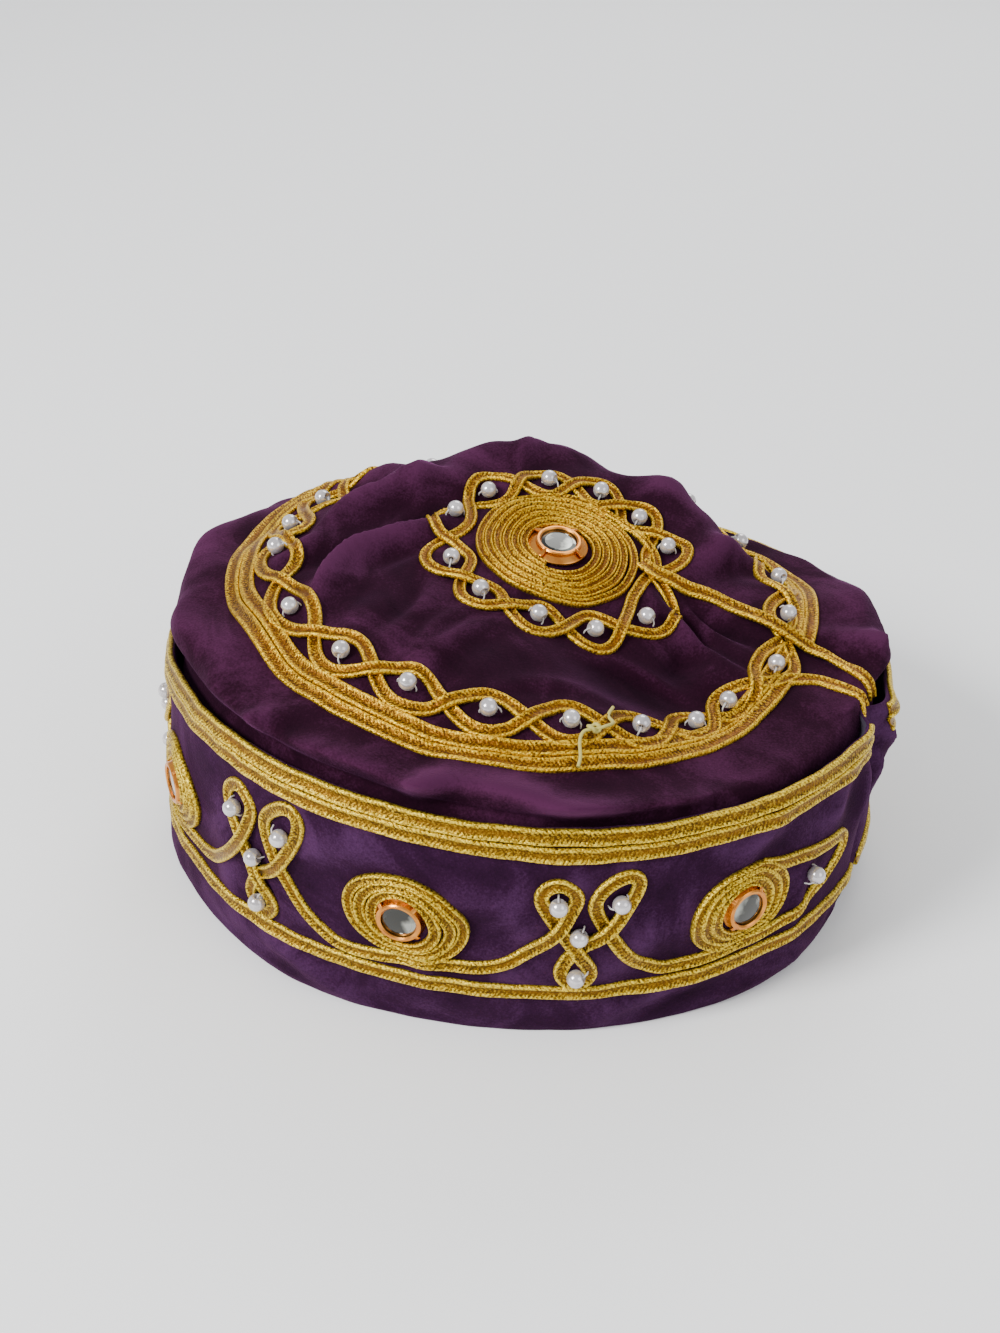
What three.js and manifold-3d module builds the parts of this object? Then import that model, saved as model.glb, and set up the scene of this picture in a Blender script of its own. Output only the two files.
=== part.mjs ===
import * as THREE from "three";
import { mergeVertices } from "three/addons/utils/BufferGeometryUtils.js";
import Module from "manifold-3d";

// A velvet kufi: a soft domed crown set inside a standing band, trimmed with gold soutache braid,
// pearls and small round mirrors. Millimetres, +Z up, the front towards -Y, standing on its hem.
// A turn is an angle in degrees from the front towards the wearer's left, which is +X.

// Driving sizes of the cloth
const band_radius = 95.5;
const band_height = 64;
const band_wall = 2.4;
const crown_height = 90;
const crown_wall = 2;
const crown_lap = 38;
const crown_tuck = 9.5;
const cloth_gap = 0.45;
const seam_turn = 79;
const band_seam_turn = 66;

// Driving sizes of the trim
const braid_width = 3.6;
const braid_thick = 1.4;
const braid_gap = 0.72;
const scroll_gap = 1.05;
const row_gap = 0.5;
const ring_radius = 76;
const twist_clearance = 1.2;
const twist_swing = 5.3;
const medallion_across = 8;
const medallion_back = 3.5;
const crown_coil_radius = 20;
const flower_radius = 28;
const flower_swing = 5.2;
const flower_slots = 12;
const flower_turn = 73.5;
const radial_width = 4.4;
const lower_braid_rise = 14.5;
const edge_margin = 0.5;
const scroll_clearance = 0.9;
const coil_step = 2.2;
const coil_half_width = 16;
const coil_half_height = 12.2;
const coil_margin = 1;
const loops_width = 40;
const loops_height = 30;
const end_loop_length = 24;
const pearl_diameter = 4;
const band_setting_diameter = 12;
const crown_setting_diameter = 15.4;
const setting_wall = 0.9;
const setting_floor = 0.5;
const setting_depth = 2.1;
const mirror_thick = 1;
const mirror_taper = 0.86;
const touch_gap = 0.3;
const bridge_gap = 0.8;
const setting_gap = 0.5;

// How finely the cloth and the trim are faceted
const crown_columns = 36;
const band_columns = 48;
const bead_sides = 10;
const bead_rings = 3;
const setting_sides = 10;
const coil_sides = 16;
const crown_coil_sides = 24;
const eye_steps = 4;

const velvet = { color: 0x43204f, roughness: 0.95, metalness: 0 };
const gold = { color: 0xb8922f, roughness: 0.45, metalness: 0.6 };
const copper_gold = { color: 0xa8642a, roughness: 0.3, metalness: 1 };
const glass = { color: 0xb9bdb0, roughness: 0.06, metalness: 0.9 };
const nacre = { color: 0xe6e1de, roughness: 0.25, metalness: 0.1 };

// Tables give a value for each of eight directions, and a smooth closed curve runs through them
const directions = ["front", "front_left", "left", "back_left", "back", "back_right", "right", "front_right"];

// Crown: height of the cloth as a share of crown_height, at a plan radius that is a share of ring_radius
const crown_rows = [
  { out: 0.19, front: 0.861, front_left: 0.85, left: 0.878, back_left: 0.905, back: 0.922, back_right: 0.92,
    right: 0.91, front_right: 0.889 },
  { out: 0.38, front: 0.833, front_left: 0.79, left: 0.844, back_left: 0.908, back: 0.95, back_right: 0.937,
    right: 0.912, front_right: 0.889 },
  { out: 0.64, front: 0.82, front_left: 0.718, left: 0.805, back_left: 0.942, back: 1.005, back_right: 0.955,
    right: 0.904, front_right: 0.887 },
  { out: 0.8, front: 0.8, front_left: 0.69, left: 0.778, back_left: 0.83, back: 0.875, back_right: 0.87,
    right: 0.878, front_right: 0.867 },
  { out: 0.905, front: 0.77, front_left: 0.675, left: 0.735, back_left: 0.755, back: 0.77, back_right: 0.805,
    right: 0.85, front_right: 0.833 },
  { out: 1, front: 0.72, front_left: 0.665, left: 0.68, back_left: 0.68, back: 0.675, back_right: 0.745,
    right: 0.805, front_right: 0.783 },
];
const crown_middle = 0.89;

// Crown below the ring: reach is the share of the way from the ring to the band's inner face, and
// drop is the share of the way from the ring's height down to the band's top edge
const shoulder_rows = [
  { reach: 0.58, drop: 0.3 },
  { reach: 0.93, drop: 0.85 },
];

// Band: radius as a share of band_radius at a height that is a share of the band's own height there
const band_rows = [
  { up: 0, front: 0.925, front_left: 0.97, left: 0.97, back_left: 0.945, back: 0.925, back_right: 0.945,
    right: 0.99, front_right: 0.96 },
  { up: 0.3, front: 0.94, front_left: 0.98, left: 0.985, back_left: 0.945, back: 0.935, back_right: 0.94,
    right: 0.975, front_right: 0.965 },
  { up: 0.7, front: 0.95, front_left: 0.98, left: 0.995, back_left: 0.95, back: 0.94, back_right: 0.93,
    right: 0.96, front_right: 0.965 },
  { up: 1, front: 0.94, front_left: 0.975, left: 0.99, back_left: 0.935, back: 0.925, back_right: 0.915,
    right: 0.945, front_right: 0.96 },
];
const band_tops = { front: 0.965, front_left: 0.94, left: 0.92, back_left: 0.87, back: 0.87, back_right: 0.87,
  right: 0.955, front_right: 1.03 };

// Folds and dents: where they lie, how far they run and spread, and how far they rise or sink
const crown_folds = [
  { turn: 12, out: 1.13, along: 22, across: 6, lie: 80, rise: 2.2 },
  { turn: -42, out: 0.78, along: 24, across: 6, lie: 40, rise: 1.8 },
  { turn: -62, out: 0.66, along: 22, across: 5, lie: 30, rise: -1.6 },
  { turn: 52, out: 0.62, along: 20, across: 9, lie: -20, rise: -2.2 },
  { turn: 100, out: 1.05, along: 12, across: 6, lie: 10, rise: 2.4 },
];

// Outer border row's tail: how far each point lies past the ring and short of its line beside the seam
const border_tail = [
  { out: -2.4, before: 4.6 },
  { out: 0, before: 1.4 },
  { out: 4, before: 0 },
  { out: 12.5, before: 0 },
];

// Left half of a loop motif, from the link up to the foot of its small loop: shares of its width and
// height, and whether the braid bridges itself there
const half_loops = [
  { across: -0.5, up: 0.11 },
  { across: -0.31, up: 0.27 },
  { across: -0.13, up: 0.53, over: true },
  { across: -0.035, up: 0.77 },
  { across: -0.058, up: 0.94 },
  { across: -0.135, up: 1 },
  { across: -0.212, up: 0.94 },
  { across: -0.228, up: 0.77 },
  { across: -0.13, up: 0.53, over: false },
  { across: 0, up: 0.33, over: true },
  { across: 0.088, up: 0.14 },
  { across: 0, up: 0 },
];

// Long loop past the first and last medallion: shares of its reach and of the coil's half height
const end_loop = [
  { along: 0.28, up: -0.93 },
  { along: 0.62, up: -0.68 },
  { along: 0.88, up: -0.3 },
  { along: 1, up: 0.08 },
  { along: 0.93, up: 0.36 },
  { along: 0.68, up: 0.46 },
  { along: 0.34, up: 0.62 },
];

// Turns of the medallions on the band
const medallion_turns = [-257, -209, -161, -113, -65.5, -16.8, 34];

// Turns of the pearls in the twist, each in an eye's middle; the first and the last stand beside the seam
const twist_pearl_turns = [
  86, 102.5, 119, 136, 153, 170, 187.5, 205, 223, 241, 257.5, 272, 297.5, 318, 335, 352.5, 369.5,
  385, 400.5, 412, 428,
];

const wasm = await Module();
wasm.setup();

const radians = THREE.MathUtils.degToRad;
const seam = radians(seam_turn);

// Value of a table row at an angle, by a smooth closed curve through its eight directions
function around(row, angle) {
  const count = directions.length;
  const place = (angle / (2 * Math.PI)) * count;
  const first = Math.floor(place);
  const t = place - first;
  const pick = (step) => row[directions[(((first + step) % count) + count) % count]];
  const [a, b, c, d] = [pick(-1), pick(0), pick(1), pick(2)];
  return b + 0.5 * t * (c - a + t * (2 * a - 5 * b + 4 * c - d + t * (3 * (b - c) + d - a)));
}

const polar = (radius, angle, height = 0) =>
  new THREE.Vector3(radius * Math.sin(angle), -radius * Math.cos(angle), height);

// Height that a fold adds to the crown at a point of the plan
function foldRise(fold, x, y) {
  const middle = polar(fold.out * ring_radius, radians(fold.turn));
  const lie = radians(fold.turn + fold.lie);
  const along = (x - middle.x) * Math.sin(lie) - (y - middle.y) * Math.cos(lie);
  const across = (x - middle.x) * Math.cos(lie) + (y - middle.y) * Math.sin(lie);
  return fold.rise * Math.exp(-((along / fold.along) ** 2) - (across / fold.across) ** 2);
}

// Outer face of the band at a height that is a share of the band's own height
const bandTop = (angle) => band_height * around(band_tops, angle);

function bandRadius(angle, up) {
  const last = band_rows.findIndex((row) => row.up >= up);
  const [low, high] = [band_rows[Math.max(last - 1, 0)], band_rows[last]];
  const t = high === low ? 0 : (up - low.up) / (high.up - low.up);
  return band_radius * THREE.MathUtils.lerp(around(low, angle), around(high, angle), t);
}

// Largest radius that clears the band's faceted inner face
const insideBand = (angle, up) =>
  (bandRadius(angle, up) - band_wall) * Math.cos(Math.PI / band_columns) - cloth_gap;

// Corners of the crown's outer face from its middle to the hem that is sewn inside the band
function crownProfile(angle) {
  const corners = crown_rows.map((row) => (
    polar(row.out * ring_radius, angle, crown_height * around(row, angle))
  ));
  const ring_height = corners.at(-1).z;
  const top = bandTop(angle);
  for (const row of shoulder_rows) {
    const radius = THREE.MathUtils.lerp(ring_radius, insideBand(angle, 1), row.reach);
    corners.push(polar(radius, angle, THREE.MathUtils.lerp(ring_height, top, row.drop)));
  }
  for (const corner of corners) {
    for (const fold of crown_folds) corner.z += foldRise(fold, corner.x, corner.y);
  }
  for (const lap of [crown_tuck, crown_lap]) {
    corners.push(polar(insideBand(angle, 1 - lap / top), angle, top - lap));
  }
  return corners;
}

function bandProfile(angle) {
  return band_rows.map((row) => polar(bandRadius(angle, row.up), angle, row.up * bandTop(angle)));
}

// Cloth face known at the corners of its facets, in columns round the head and rows across it
class Cloth {
  constructor(columns, profile, measure) {
    this.columns = columns;
    this.measure = measure;
    this.corners = Array.from({ length: columns }, (_, i) => profile((2 * Math.PI * i) / columns));
  }

  // Point of the faceted face at an angle, where its measure has the given value
  at(angle, value) {
    const place = (angle / (2 * Math.PI)) * this.columns;
    const column = Math.floor(place);
    const u = place - column;
    const near = this.corners[((column % this.columns) + this.columns) % this.columns];
    const far = this.corners[(((column + 1) % this.columns) + this.columns) % this.columns];
    const mark = (i) => THREE.MathUtils.lerp(this.measure(near[i]), this.measure(far[i]), u);
    let row = 0;
    while (row < near.length - 2 && mark(row + 1) < value) row += 1;
    const v = (value - mark(row)) / (mark(row + 1) - mark(row));
    const [a, b, c, d] = [near[row], far[row], far[row + 1], near[row + 1]];
    const point = a.clone();
    if (a.equals(b)) return point.addScaledVector(d.clone().sub(a), v).addScaledVector(c.clone().sub(d), u * v);
    if (u > v) return point.addScaledVector(b.clone().sub(a), u).addScaledVector(c.clone().sub(b), v);
    return point.addScaledVector(d.clone().sub(a), v).addScaledVector(c.clone().sub(d), u);
  }
}
const crown_face = new Cloth(
  crown_columns,
  (angle) => [polar(0, angle, crown_height * crown_middle), ...crownProfile(angle).slice(0, -2)],
  (corner) => Math.hypot(corner.x, corner.y),
);
const band_face = new Cloth(band_columns, (angle) => bandProfile(angle).reverse(), (corner) => -corner.z);

const onCrown = (x, y) => crown_face.at(Math.atan2(x, -y), Math.hypot(x, y));
const onBand = (x, y) => band_face.at(x / band_radius, -y);

// Outward direction of the cloth at a chart point, smoothed over its facets
function outward(chart, x, y) {
  const reach = braid_width / 2;
  const across = chart(x + reach, y).sub(chart(x - reach, y));
  const up = chart(x, y + reach).sub(chart(x, y - reach));
  return across.cross(up).normalize();
}

const lifted = (chart, x, y, lift) => chart(x, y).addScaledVector(outward(chart, x, y), lift);

// Chart point that lies a true distance away over the cloth
function beside(chart, x, y, direction, distance) {
  const ahead = chart(x + direction.x * distance, y + direction.y * distance);
  const stretch = ahead.distanceTo(chart(x, y)) / Math.abs(distance);
  return { x: x + (direction.x * distance) / stretch, y: y + (direction.y * distance) / stretch };
}

// Closed geometry from corners and faces that point outwards
function solid(corners, faces) {
  const geometry = new THREE.BufferGeometry();
  geometry.setAttribute("position", new THREE.Float32BufferAttribute(corners.flatMap((p) => p.toArray()), 3));
  geometry.setIndex(faces.flat());
  return geometry;
}

// Wall of cloth swept round the head: a loop of corners in each column, or a run between two poles
function clothWall(columns, profile, poles) {
  const runs = Array.from({ length: columns }, (_, i) => profile((2 * Math.PI * i) / columns));
  const rows = runs[0].length;
  const corners = [...runs.flat(), ...poles];
  const faces = [];
  for (let i = 0; i < columns; i++) {
    const [near, far] = [i * rows, ((i + 1) % columns) * rows];
    for (let j = 0; j < (poles.length ? rows - 1 : rows); j++) {
      const next = (j + 1) % rows;
      faces.push([near + j, far + next, far + j], [near + j, near + next, far + next]);
    }
    if (poles.length) {
      faces.push([columns * rows, near, far]);
      faces.push([columns * rows + 1, far + rows - 1, near + rows - 1]);
    }
  }
  return solid(corners, faces);
}

// Inner face of a cloth wall: each corner moved in, square to the run of its column
function inset(run, wall, start) {
  return run.map((corner, i) => {
    const before = i === 0 ? start : run[i - 1];
    const after = run[Math.min(i + 1, run.length - 1)];
    const along = after.clone().sub(before);
    const away = new THREE.Vector3(corner.x, corner.y, 0).normalize();
    const slope = new THREE.Vector2(along.dot(away), along.z).normalize();
    return corner.clone().addScaledVector(away, wall * slope.y).add(new THREE.Vector3(0, 0, -wall * slope.x));
  });
}

function crownGeometry() {
  const middle = new THREE.Vector3(0, 0, crown_height * crown_middle);
  const under = middle.clone().setZ(middle.z - crown_wall);
  const wallOf = (angle) => {
    const outer = crownProfile(angle);
    return [...outer, ...inset(outer, crown_wall, middle).reverse()];
  };
  return clothWall(crown_columns, wallOf, [middle, under]);
}

function bandGeometry() {
  const wallOf = (angle) => {
    const outer = bandProfile(angle);
    const inner = outer.map((p) => polar(Math.hypot(p.x, p.y) - band_wall, angle, p.z));
    return [...outer.reverse(), ...inner];
  };
  return clothWall(band_columns, wallOf, []);
}

// Trim laid on the cloth: flat faces drawn on the chart and given a thickness
function laid(faces, chart, gap = braid_gap) {
  const spots = [...new Set(faces.flat())];
  const count = spots.length;
  const index = new Map(spots.map((spot, i) => [spot, i]));
  const level = (height) => spots.map((s) => lifted(chart, s.x, s.y, gap + height + (s.lift ?? 0)));
  const corners = [...level(0), ...level(braid_thick)];
  const triangles = [];
  const edges = new Set();
  for (const face of faces) {
    const ids = face.map((spot) => index.get(spot));
    for (let k = 1; k < ids.length - 1; k++) {
      triangles.push([ids[0] + count, ids[k] + count, ids[k + 1] + count], [ids[0], ids[k + 1], ids[k]]);
    }
    ids.forEach((id, k) => edges.add(id * count + ids[(k + 1) % ids.length]));
  }
  for (const edge of edges) {
    const [from, to] = [Math.floor(edge / count), edge % count];
    if (edges.has(to * count + from)) continue;
    triangles.push([from, to, to + count], [from, to + count, from + count]);
  }
  return solid(corners, triangles);
}

// Faces of a braid that follows a path of chart points
function strip(path, width, chart, closed = false) {
  const count = path.length;
  const sides = path.map((spot, i) => {
    const before = path[closed ? (i + count - 1) % count : Math.max(i - 1, 0)];
    const after = path[closed ? (i + 1) % count : Math.min(i + 1, count - 1)];
    const along = new THREE.Vector2(after.x - before.x, after.y - before.y).normalize();
    const aside = { x: -along.y, y: along.x };
    const left = beside(chart, spot.x, spot.y, aside, width / 2);
    const right = beside(chart, spot.x, spot.y, aside, -width / 2);
    return [{ ...left, lift: spot.lift }, { ...right, lift: spot.lift }];
  });
  const last = closed ? count : count - 1;
  return Array.from({ length: last }, (_, i) => {
    const [[left, right], [next_left, next_right]] = [sides[i], sides[(i + 1) % count]];
    return [right, next_right, next_left, left];
  });
}

// Faces of a ring between two ovals about a chart point
function ovalRing(middle, inner, outer, sides) {
  const oval = (half) => Array.from({ length: sides }, (_, i) => {
    const angle = (2 * Math.PI * i) / sides;
    return { x: middle.x + half.x * Math.cos(angle), y: middle.y + half.y * Math.sin(angle) };
  });
  const [hole, rim] = [oval(inner), oval(outer)];
  return rim.map((spot, i) => [spot, rim[(i + 1) % sides], hole[(i + 1) % sides], hole[i]]);
}

// Faces of two strands that twist about each other, fused where they cross
function twist(crossings, radius, swing, place) {
  const half = braid_width / 2;
  const faces = [];
  const steepness = crossings.slice(1).map((end, k) => (Math.PI * swing) / ((end - crossings[k]) * radius));
  const waists = crossings.map((angle, k) => {
    const steep = steepness[Math.min(k, steepness.length - 1)];
    const height = half * Math.hypot(1, steep);
    return { out: place(angle, height), in: place(angle, -height) };
  });
  const closed = Math.abs(crossings.at(-1) - crossings[0] - 2 * Math.PI) < 1e-9;
  if (closed) waists[waists.length - 1] = waists[0];
  const tips = steepness.map((steep, k) => {
    const reach = (half * Math.hypot(1, 1 / steep)) / radius;
    return [place(crossings[k] + reach, 0), place(crossings[k + 1] - reach, 0)];
  });
  steepness.forEach((steep, k) => {
    const length = crossings[k + 1] - crossings[k];
    for (const [side, sign] of [["out", 1], ["in", -1]]) {
      const rim = [waists[k][side]];
      const hole = [tips[k][0]];
      for (let j = 1; j < eye_steps; j++) {
        const t = (Math.PI * j) / eye_steps;
        const middle = swing * Math.sin(t);
        const spread = half * Math.hypot(1, steep * Math.cos(t));
        rim.push(place(crossings[k] + (length * j) / eye_steps, sign * (middle + spread)));
        hole.push(place(crossings[k] + (length * j) / eye_steps, sign * (middle - spread)));
      }
      rim.push(waists[k + 1][side]);
      hole.push(tips[k][1]);
      for (let j = 0; j < eye_steps; j++) {
        const face = [rim[j], rim[j + 1], hole[j + 1], hole[j]];
        faces.push(sign > 0 ? face : face.reverse());
      }
    }
    const before = tips[(k + tips.length - 1) % tips.length][1];
    if (k > 0 || closed) faces.push([waists[k].out, tips[k][0], waists[k].in, before]);
  });
  return faces;
}

const crownSeam = (radius, aside = 0) => {
  const point = polar(radius, seam);
  return { x: point.x + aside * Math.cos(seam), y: point.y + aside * Math.sin(seam) };
};

// Plan point at an angle that lies a true distance inside the ring's outer edge, over the cloth
function inRing(angle, distance) {
  const steps = Math.ceil(distance);
  let radius = ring_radius;
  for (let i = 0; i < steps; i++) {
    const step = distance / steps;
    const stretch = crown_face.at(angle, radius).distanceTo(crown_face.at(angle, radius - step)) / step;
    radius -= step / stretch;
  }
  return polar(radius, angle);
}

// Angles of the cloth's columns between two ends, leaving out one that is nearly at an end
const columnAngles = (from, to, columns) => {
  const step = (2 * Math.PI) / columns;
  const spare = step / 5;
  const angles = [from];
  for (let k = Math.ceil((from + spare) / step); k * step < to - spare; k++) angles.push(k * step);
  return [...angles, to];
};

const edge_clearance = radial_width / 2 + row_gap;
const bridge_lift = braid_thick + bridge_gap;
const bridge_half = 0.75 * braid_width;

// Two rows of braid round the crown's edge; the outer one ends in a tail beside the seam's braid
function crownBorder(row) {
  const inside = braid_width / 2 + row * (braid_width + row_gap);
  const clear = (edge_clearance + (row === 0 ? braid_width / 2 : 0)) / (ring_radius - 2 * braid_width);
  const angles = columnAngles(seam + clear, seam + 2 * Math.PI - clear, crown_columns);
  const path = angles.map((angle) => inRing(angle, inside));
  if (row === 0) {
    const beside_seam = edge_clearance + braid_width / 2;
    path.splice(-1, 1, ...border_tail.map((p) => crownSeam(ring_radius + p.out, -beside_seam - p.before)));
  }
  return laid(strip(path, braid_width, onCrown), onCrown);
}

// The seam's braid runs out from the flower, bridges the twist and ends on the crown's shoulder
const twist_inside = 2.5 * braid_width + row_gap + twist_clearance + twist_swing;

function crownRadial() {
  const over = radial_width;
  const start = (distance, lift) => ({ ...inFlower(seam, distance), lift });
  const along = (inside, lift) => ({ ...inRing(seam, inside), lift });
  const path = [
    start(-over, bridge_lift),
    start(over, bridge_lift),
    start(over + bridge_half, 0),
    along(twist_inside + over + bridge_half, 0),
    along(twist_inside + over, bridge_lift),
    along(twist_inside - over, bridge_lift),
    along(twist_inside - over - bridge_half, 0),
    { ...crownSeam(ring_radius), lift: 0 },
    { ...crownSeam(ring_radius + border_tail.at(-1).out / 2), lift: 0 },
    { ...crownSeam(ring_radius + border_tail.at(-1).out), lift: 0 },
  ];
  return laid(strip(path, radial_width, onCrown), onCrown);
}

// The twist crosses itself half-way between each two pearls, and under the seam's braid
const twist_crossings = [
  seam,
  ...twist_pearl_turns.slice(1).map((turn, k) => radians((turn + twist_pearl_turns[k]) / 2)),
  seam + 2 * Math.PI,
];
const inTwist = (angle, out) => ({ ...inRing(angle, twist_inside - out) });

function crownTwist() {
  return laid(twist(twist_crossings, ring_radius - twist_inside, twist_swing, inTwist), onCrown);
}

const slot = (k) => radians(flower_turn + (360 * k) / flower_slots);

// The flower has no eye at the seam: its strands cross there under the seam's braid, between two long eyes
const flower_crossings = [seam];
for (let k = 1; k < flower_slots - 1; k++) flower_crossings.push(slot(k + 0.5));
flower_crossings.push(seam + 2 * Math.PI);

const inFlower = (angle, out) => {
  const point = polar(flower_radius + out, angle);
  return { x: medallion_across + point.x, y: medallion_back + point.y };
};

function crownFlower() {
  return laid(twist(flower_crossings, flower_radius, flower_swing, inFlower), onCrown);
}

const medallion = { x: medallion_across, y: medallion_back };
const even = (half) => ({ x: half, y: half });

function crownCoil() {
  const hole = crown_setting_diameter / 2 + coil_margin;
  return laid(ovalRing(medallion, even(hole), even(crown_coil_radius), crown_coil_sides), onCrown);
}

// Rows of braid round the band, open at the band's own seam, which isn't in line with the crown's
function bandBraid(rise) {
  const clear = edge_clearance / band_radius;
  const start = radians(band_seam_turn);
  const path = columnAngles(start + clear, start + 2 * Math.PI - clear, band_columns).map((angle) => (
    { x: angle * band_radius, y: rise(angle) }));
  return laid(strip(path, braid_width, onBand), onBand);
}
const topRow = (row) => (angle) =>
  bandTop(angle) - edge_margin - braid_width / 2 - row * (braid_width + row_gap);

// Chart point of the band whose height follows the band's top edge, which is lower at the back
const tracked = (x, y) => ({ x, y: (y * bandTop(x / band_radius)) / band_height });
const loops_rise = lower_braid_rise + braid_width + scroll_clearance;
const coil_rise = loops_rise + coil_step + coil_half_height;

// The scroll: one braid that links the medallions' coils and makes a loop motif between each two
const medallions = medallion_turns.map((turn) => tracked(radians(turn) * band_radius, coil_rise));

const mirrored = (rows) => rows.slice(0, -1).reverse().map((row) => (
  { across: -row.across, up: row.up, over: row.over === undefined ? undefined : !row.over }));

function endLoop(middle, side) {
  const reach = coil_half_width + end_loop_length;
  return end_loop.map((row) => (
    { x: middle.x + side * row.along * reach, y: middle.y + row.up * coil_half_height }));
}

function scrollPath() {
  const foot = (spot) => ({ x: spot.x, y: spot.y - coil_half_height });
  const path = [...endLoop(medallions[0], -1).reverse()];
  for (let k = 0; k < medallions.length - 1; k++) {
    const middle = (medallions[k].x + medallions[k + 1].x) / 2;
    path.push(foot(medallions[k]));
    for (const row of [...half_loops, ...mirrored(half_loops)]) {
      const spot = tracked(middle + row.across * loops_width, loops_rise + row.up * loops_height);
      path.push({ ...spot, over: row.over });
    }
  }
  return [...path, foot(medallions.at(-1)), ...endLoop(medallions.at(-1), 1)];
}

// Where the braid passes over itself it is raised on a flat bridge of three points
function bridged(path) {
  return path.flatMap((spot, i) => {
    if (!spot.over) return [spot];
    const toward = (other) => {
      const t = bridge_half / Math.hypot(other.x - spot.x, other.y - spot.y);
      return { x: spot.x + t * (other.x - spot.x), y: spot.y + t * (other.y - spot.y), lift: bridge_lift };
    };
    return [toward(path[i - 1]), { ...spot, lift: bridge_lift }, toward(path[i + 1])];
  });
}

// Turns a piece so that its own Y axis leaves the cloth, or lies along it if it is a bead
function seat(object, chart, x, y, lift, lying) {
  const normal = outward(chart, x, y);
  const across = chart(x + 1, y).sub(chart(x - 1, y)).cross(normal).cross(normal).negate().normalize();
  const basis = new THREE.Matrix4();
  if (lying) basis.makeBasis(across.clone().cross(normal), across, normal);
  else basis.makeBasis(across, normal, across.clone().cross(normal));
  object.position.copy(chart(x, y)).addScaledVector(normal, lift);
  object.quaternion.setFromRotationMatrix(basis);
  return object;
}

const pearl_radius = pearl_diameter / 2;
const bead_lift = touch_gap + pearl_radius;
const bead = new THREE.SphereGeometry(pearl_radius, bead_sides, bead_rings);

function asManifold(geometry) {
  const bare = geometry.clone();
  bare.deleteAttribute("normal");
  bare.deleteAttribute("uv");
  const merged = mergeVertices(bare, 1e-5);
  return new wasm.Manifold(new wasm.Mesh({
    numProp: 3,
    vertProperties: new Float32Array(merged.attributes.position.array),
    triVerts: new Uint32Array(merged.index.array),
  }));
}

function joined(geometries) {
  const whole = geometries.map(asManifold).reduce((sum, next) => sum.add(next));
  const mesh = whole.getMesh();
  const geometry = new THREE.BufferGeometry();
  geometry.setAttribute("position", new THREE.BufferAttribute(new Float32Array(mesh.vertProperties), 3));
  geometry.setIndex(new THREE.BufferAttribute(new Uint32Array(mesh.triVerts), 1));
  return geometry;
}

function bandScroll() {
  const hole = band_setting_diameter / 2 + coil_margin;
  const pieces = [laid(strip(bridged(scrollPath()), braid_width, onBand), onBand, scroll_gap)];
  const half = { x: coil_half_width, y: coil_half_height };
  for (const spot of medallions) {
    pieces.push(laid(ovalRing(spot, even(hole), half, coil_sides), onBand, scroll_gap));
  }
  return joined(pieces);
}

// A mirror sits in a shallow metal cup that is sewn to the cloth
function cupGeometry(diameter) {
  const radius = diameter / 2;
  const outline = [[0, 0], [radius, 0], [radius, setting_depth], [radius - setting_wall, setting_depth],
    [radius - setting_wall, setting_floor], [0, setting_floor]];
  return new THREE.LatheGeometry(outline.map(([x, y]) => new THREE.Vector2(x, y)), setting_sides);
}

function mirrorGeometry(diameter) {
  const radius = diameter / 2 - setting_wall / Math.cos(Math.PI / setting_sides) - touch_gap;
  return new THREE.CylinderGeometry(radius * mirror_taper, radius, mirror_thick, setting_sides);
}

const kufi = new THREE.Group();

function add(name, geometry, finish) {
  const mesh = new THREE.Mesh(geometry, new THREE.MeshStandardMaterial(finish));
  mesh.name = name;
  kufi.add(mesh);
  return mesh;
}

function addStone(name, chart, x, y, diameter) {
  const setting = add(`${name}_setting`, cupGeometry(diameter), copper_gold);
  seat(setting, chart, x, y, setting_gap, false);
  const mirror = add(`${name}_mirror`, mirrorGeometry(diameter), glass);
  seat(mirror, chart, x, y, setting_gap + setting_floor + touch_gap + mirror_thick / 2, false);
}

const numbered = (name, k) => `${name}_${String(k).padStart(2, "0")}`;

add("crown", crownGeometry(), velvet);
add("band", bandGeometry(), velvet);
add("crown_border_outer", crownBorder(0), gold);
add("crown_border_inner", crownBorder(1), gold);
add("crown_twist", crownTwist(), gold);
add("crown_flower", crownFlower(), gold);
add("crown_coil", crownCoil(), gold);
add("crown_seam_braid", crownRadial(), gold);
add("band_top_braid_upper", bandBraid(topRow(0)), gold);
add("band_top_braid_lower", bandBraid(topRow(1)), gold);
add("band_lower_braid", bandBraid((angle) => tracked(angle * band_radius, lower_braid_rise).y), gold);
add("band_scroll", bandScroll(), gold);

addStone("crown", onCrown, medallion.x, medallion.y, crown_setting_diameter);
medallions.forEach(({ x, y }, k) => addStone(numbered("band", k + 1), onBand, x, y, band_setting_diameter));

// A pearl stands in the middle of each eye
function addPearls(name, crossings, place) {
  crossings.slice(1).forEach((end, k) => {
    const spot = place((crossings[k] + end) / 2);
    seat(add(numbered(name, k + 1), bead, nacre), onCrown, spot.x, spot.y, bead_lift, true);
  });
}
addPearls("twist_pearl", twist_crossings, (angle) => inTwist(angle, 0));
addPearls("flower_pearl", flower_crossings, (angle) => inFlower(angle, 0));

export default kufi;
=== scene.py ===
# %% [markdown]
# # A velvet kufi with gold soutache, pearls and mirrors
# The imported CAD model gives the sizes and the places: a soft crown inside a standing band, and the
# lines that the trim follows. This lesson dresses it. The cloth gets its creases and its pile, each
# braid becomes a real soutache with two ridges and a plait, and pearls and mirrors are sewn on.
# Lengths are in millimetres wherever a name or a table gives one, and turned to metres at the end.

# %% Load the frame
import math
import random

import bpy
import numpy as np
from mathutils import Matrix, Vector
from mathutils.bvhtree import BVHTree


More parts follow.
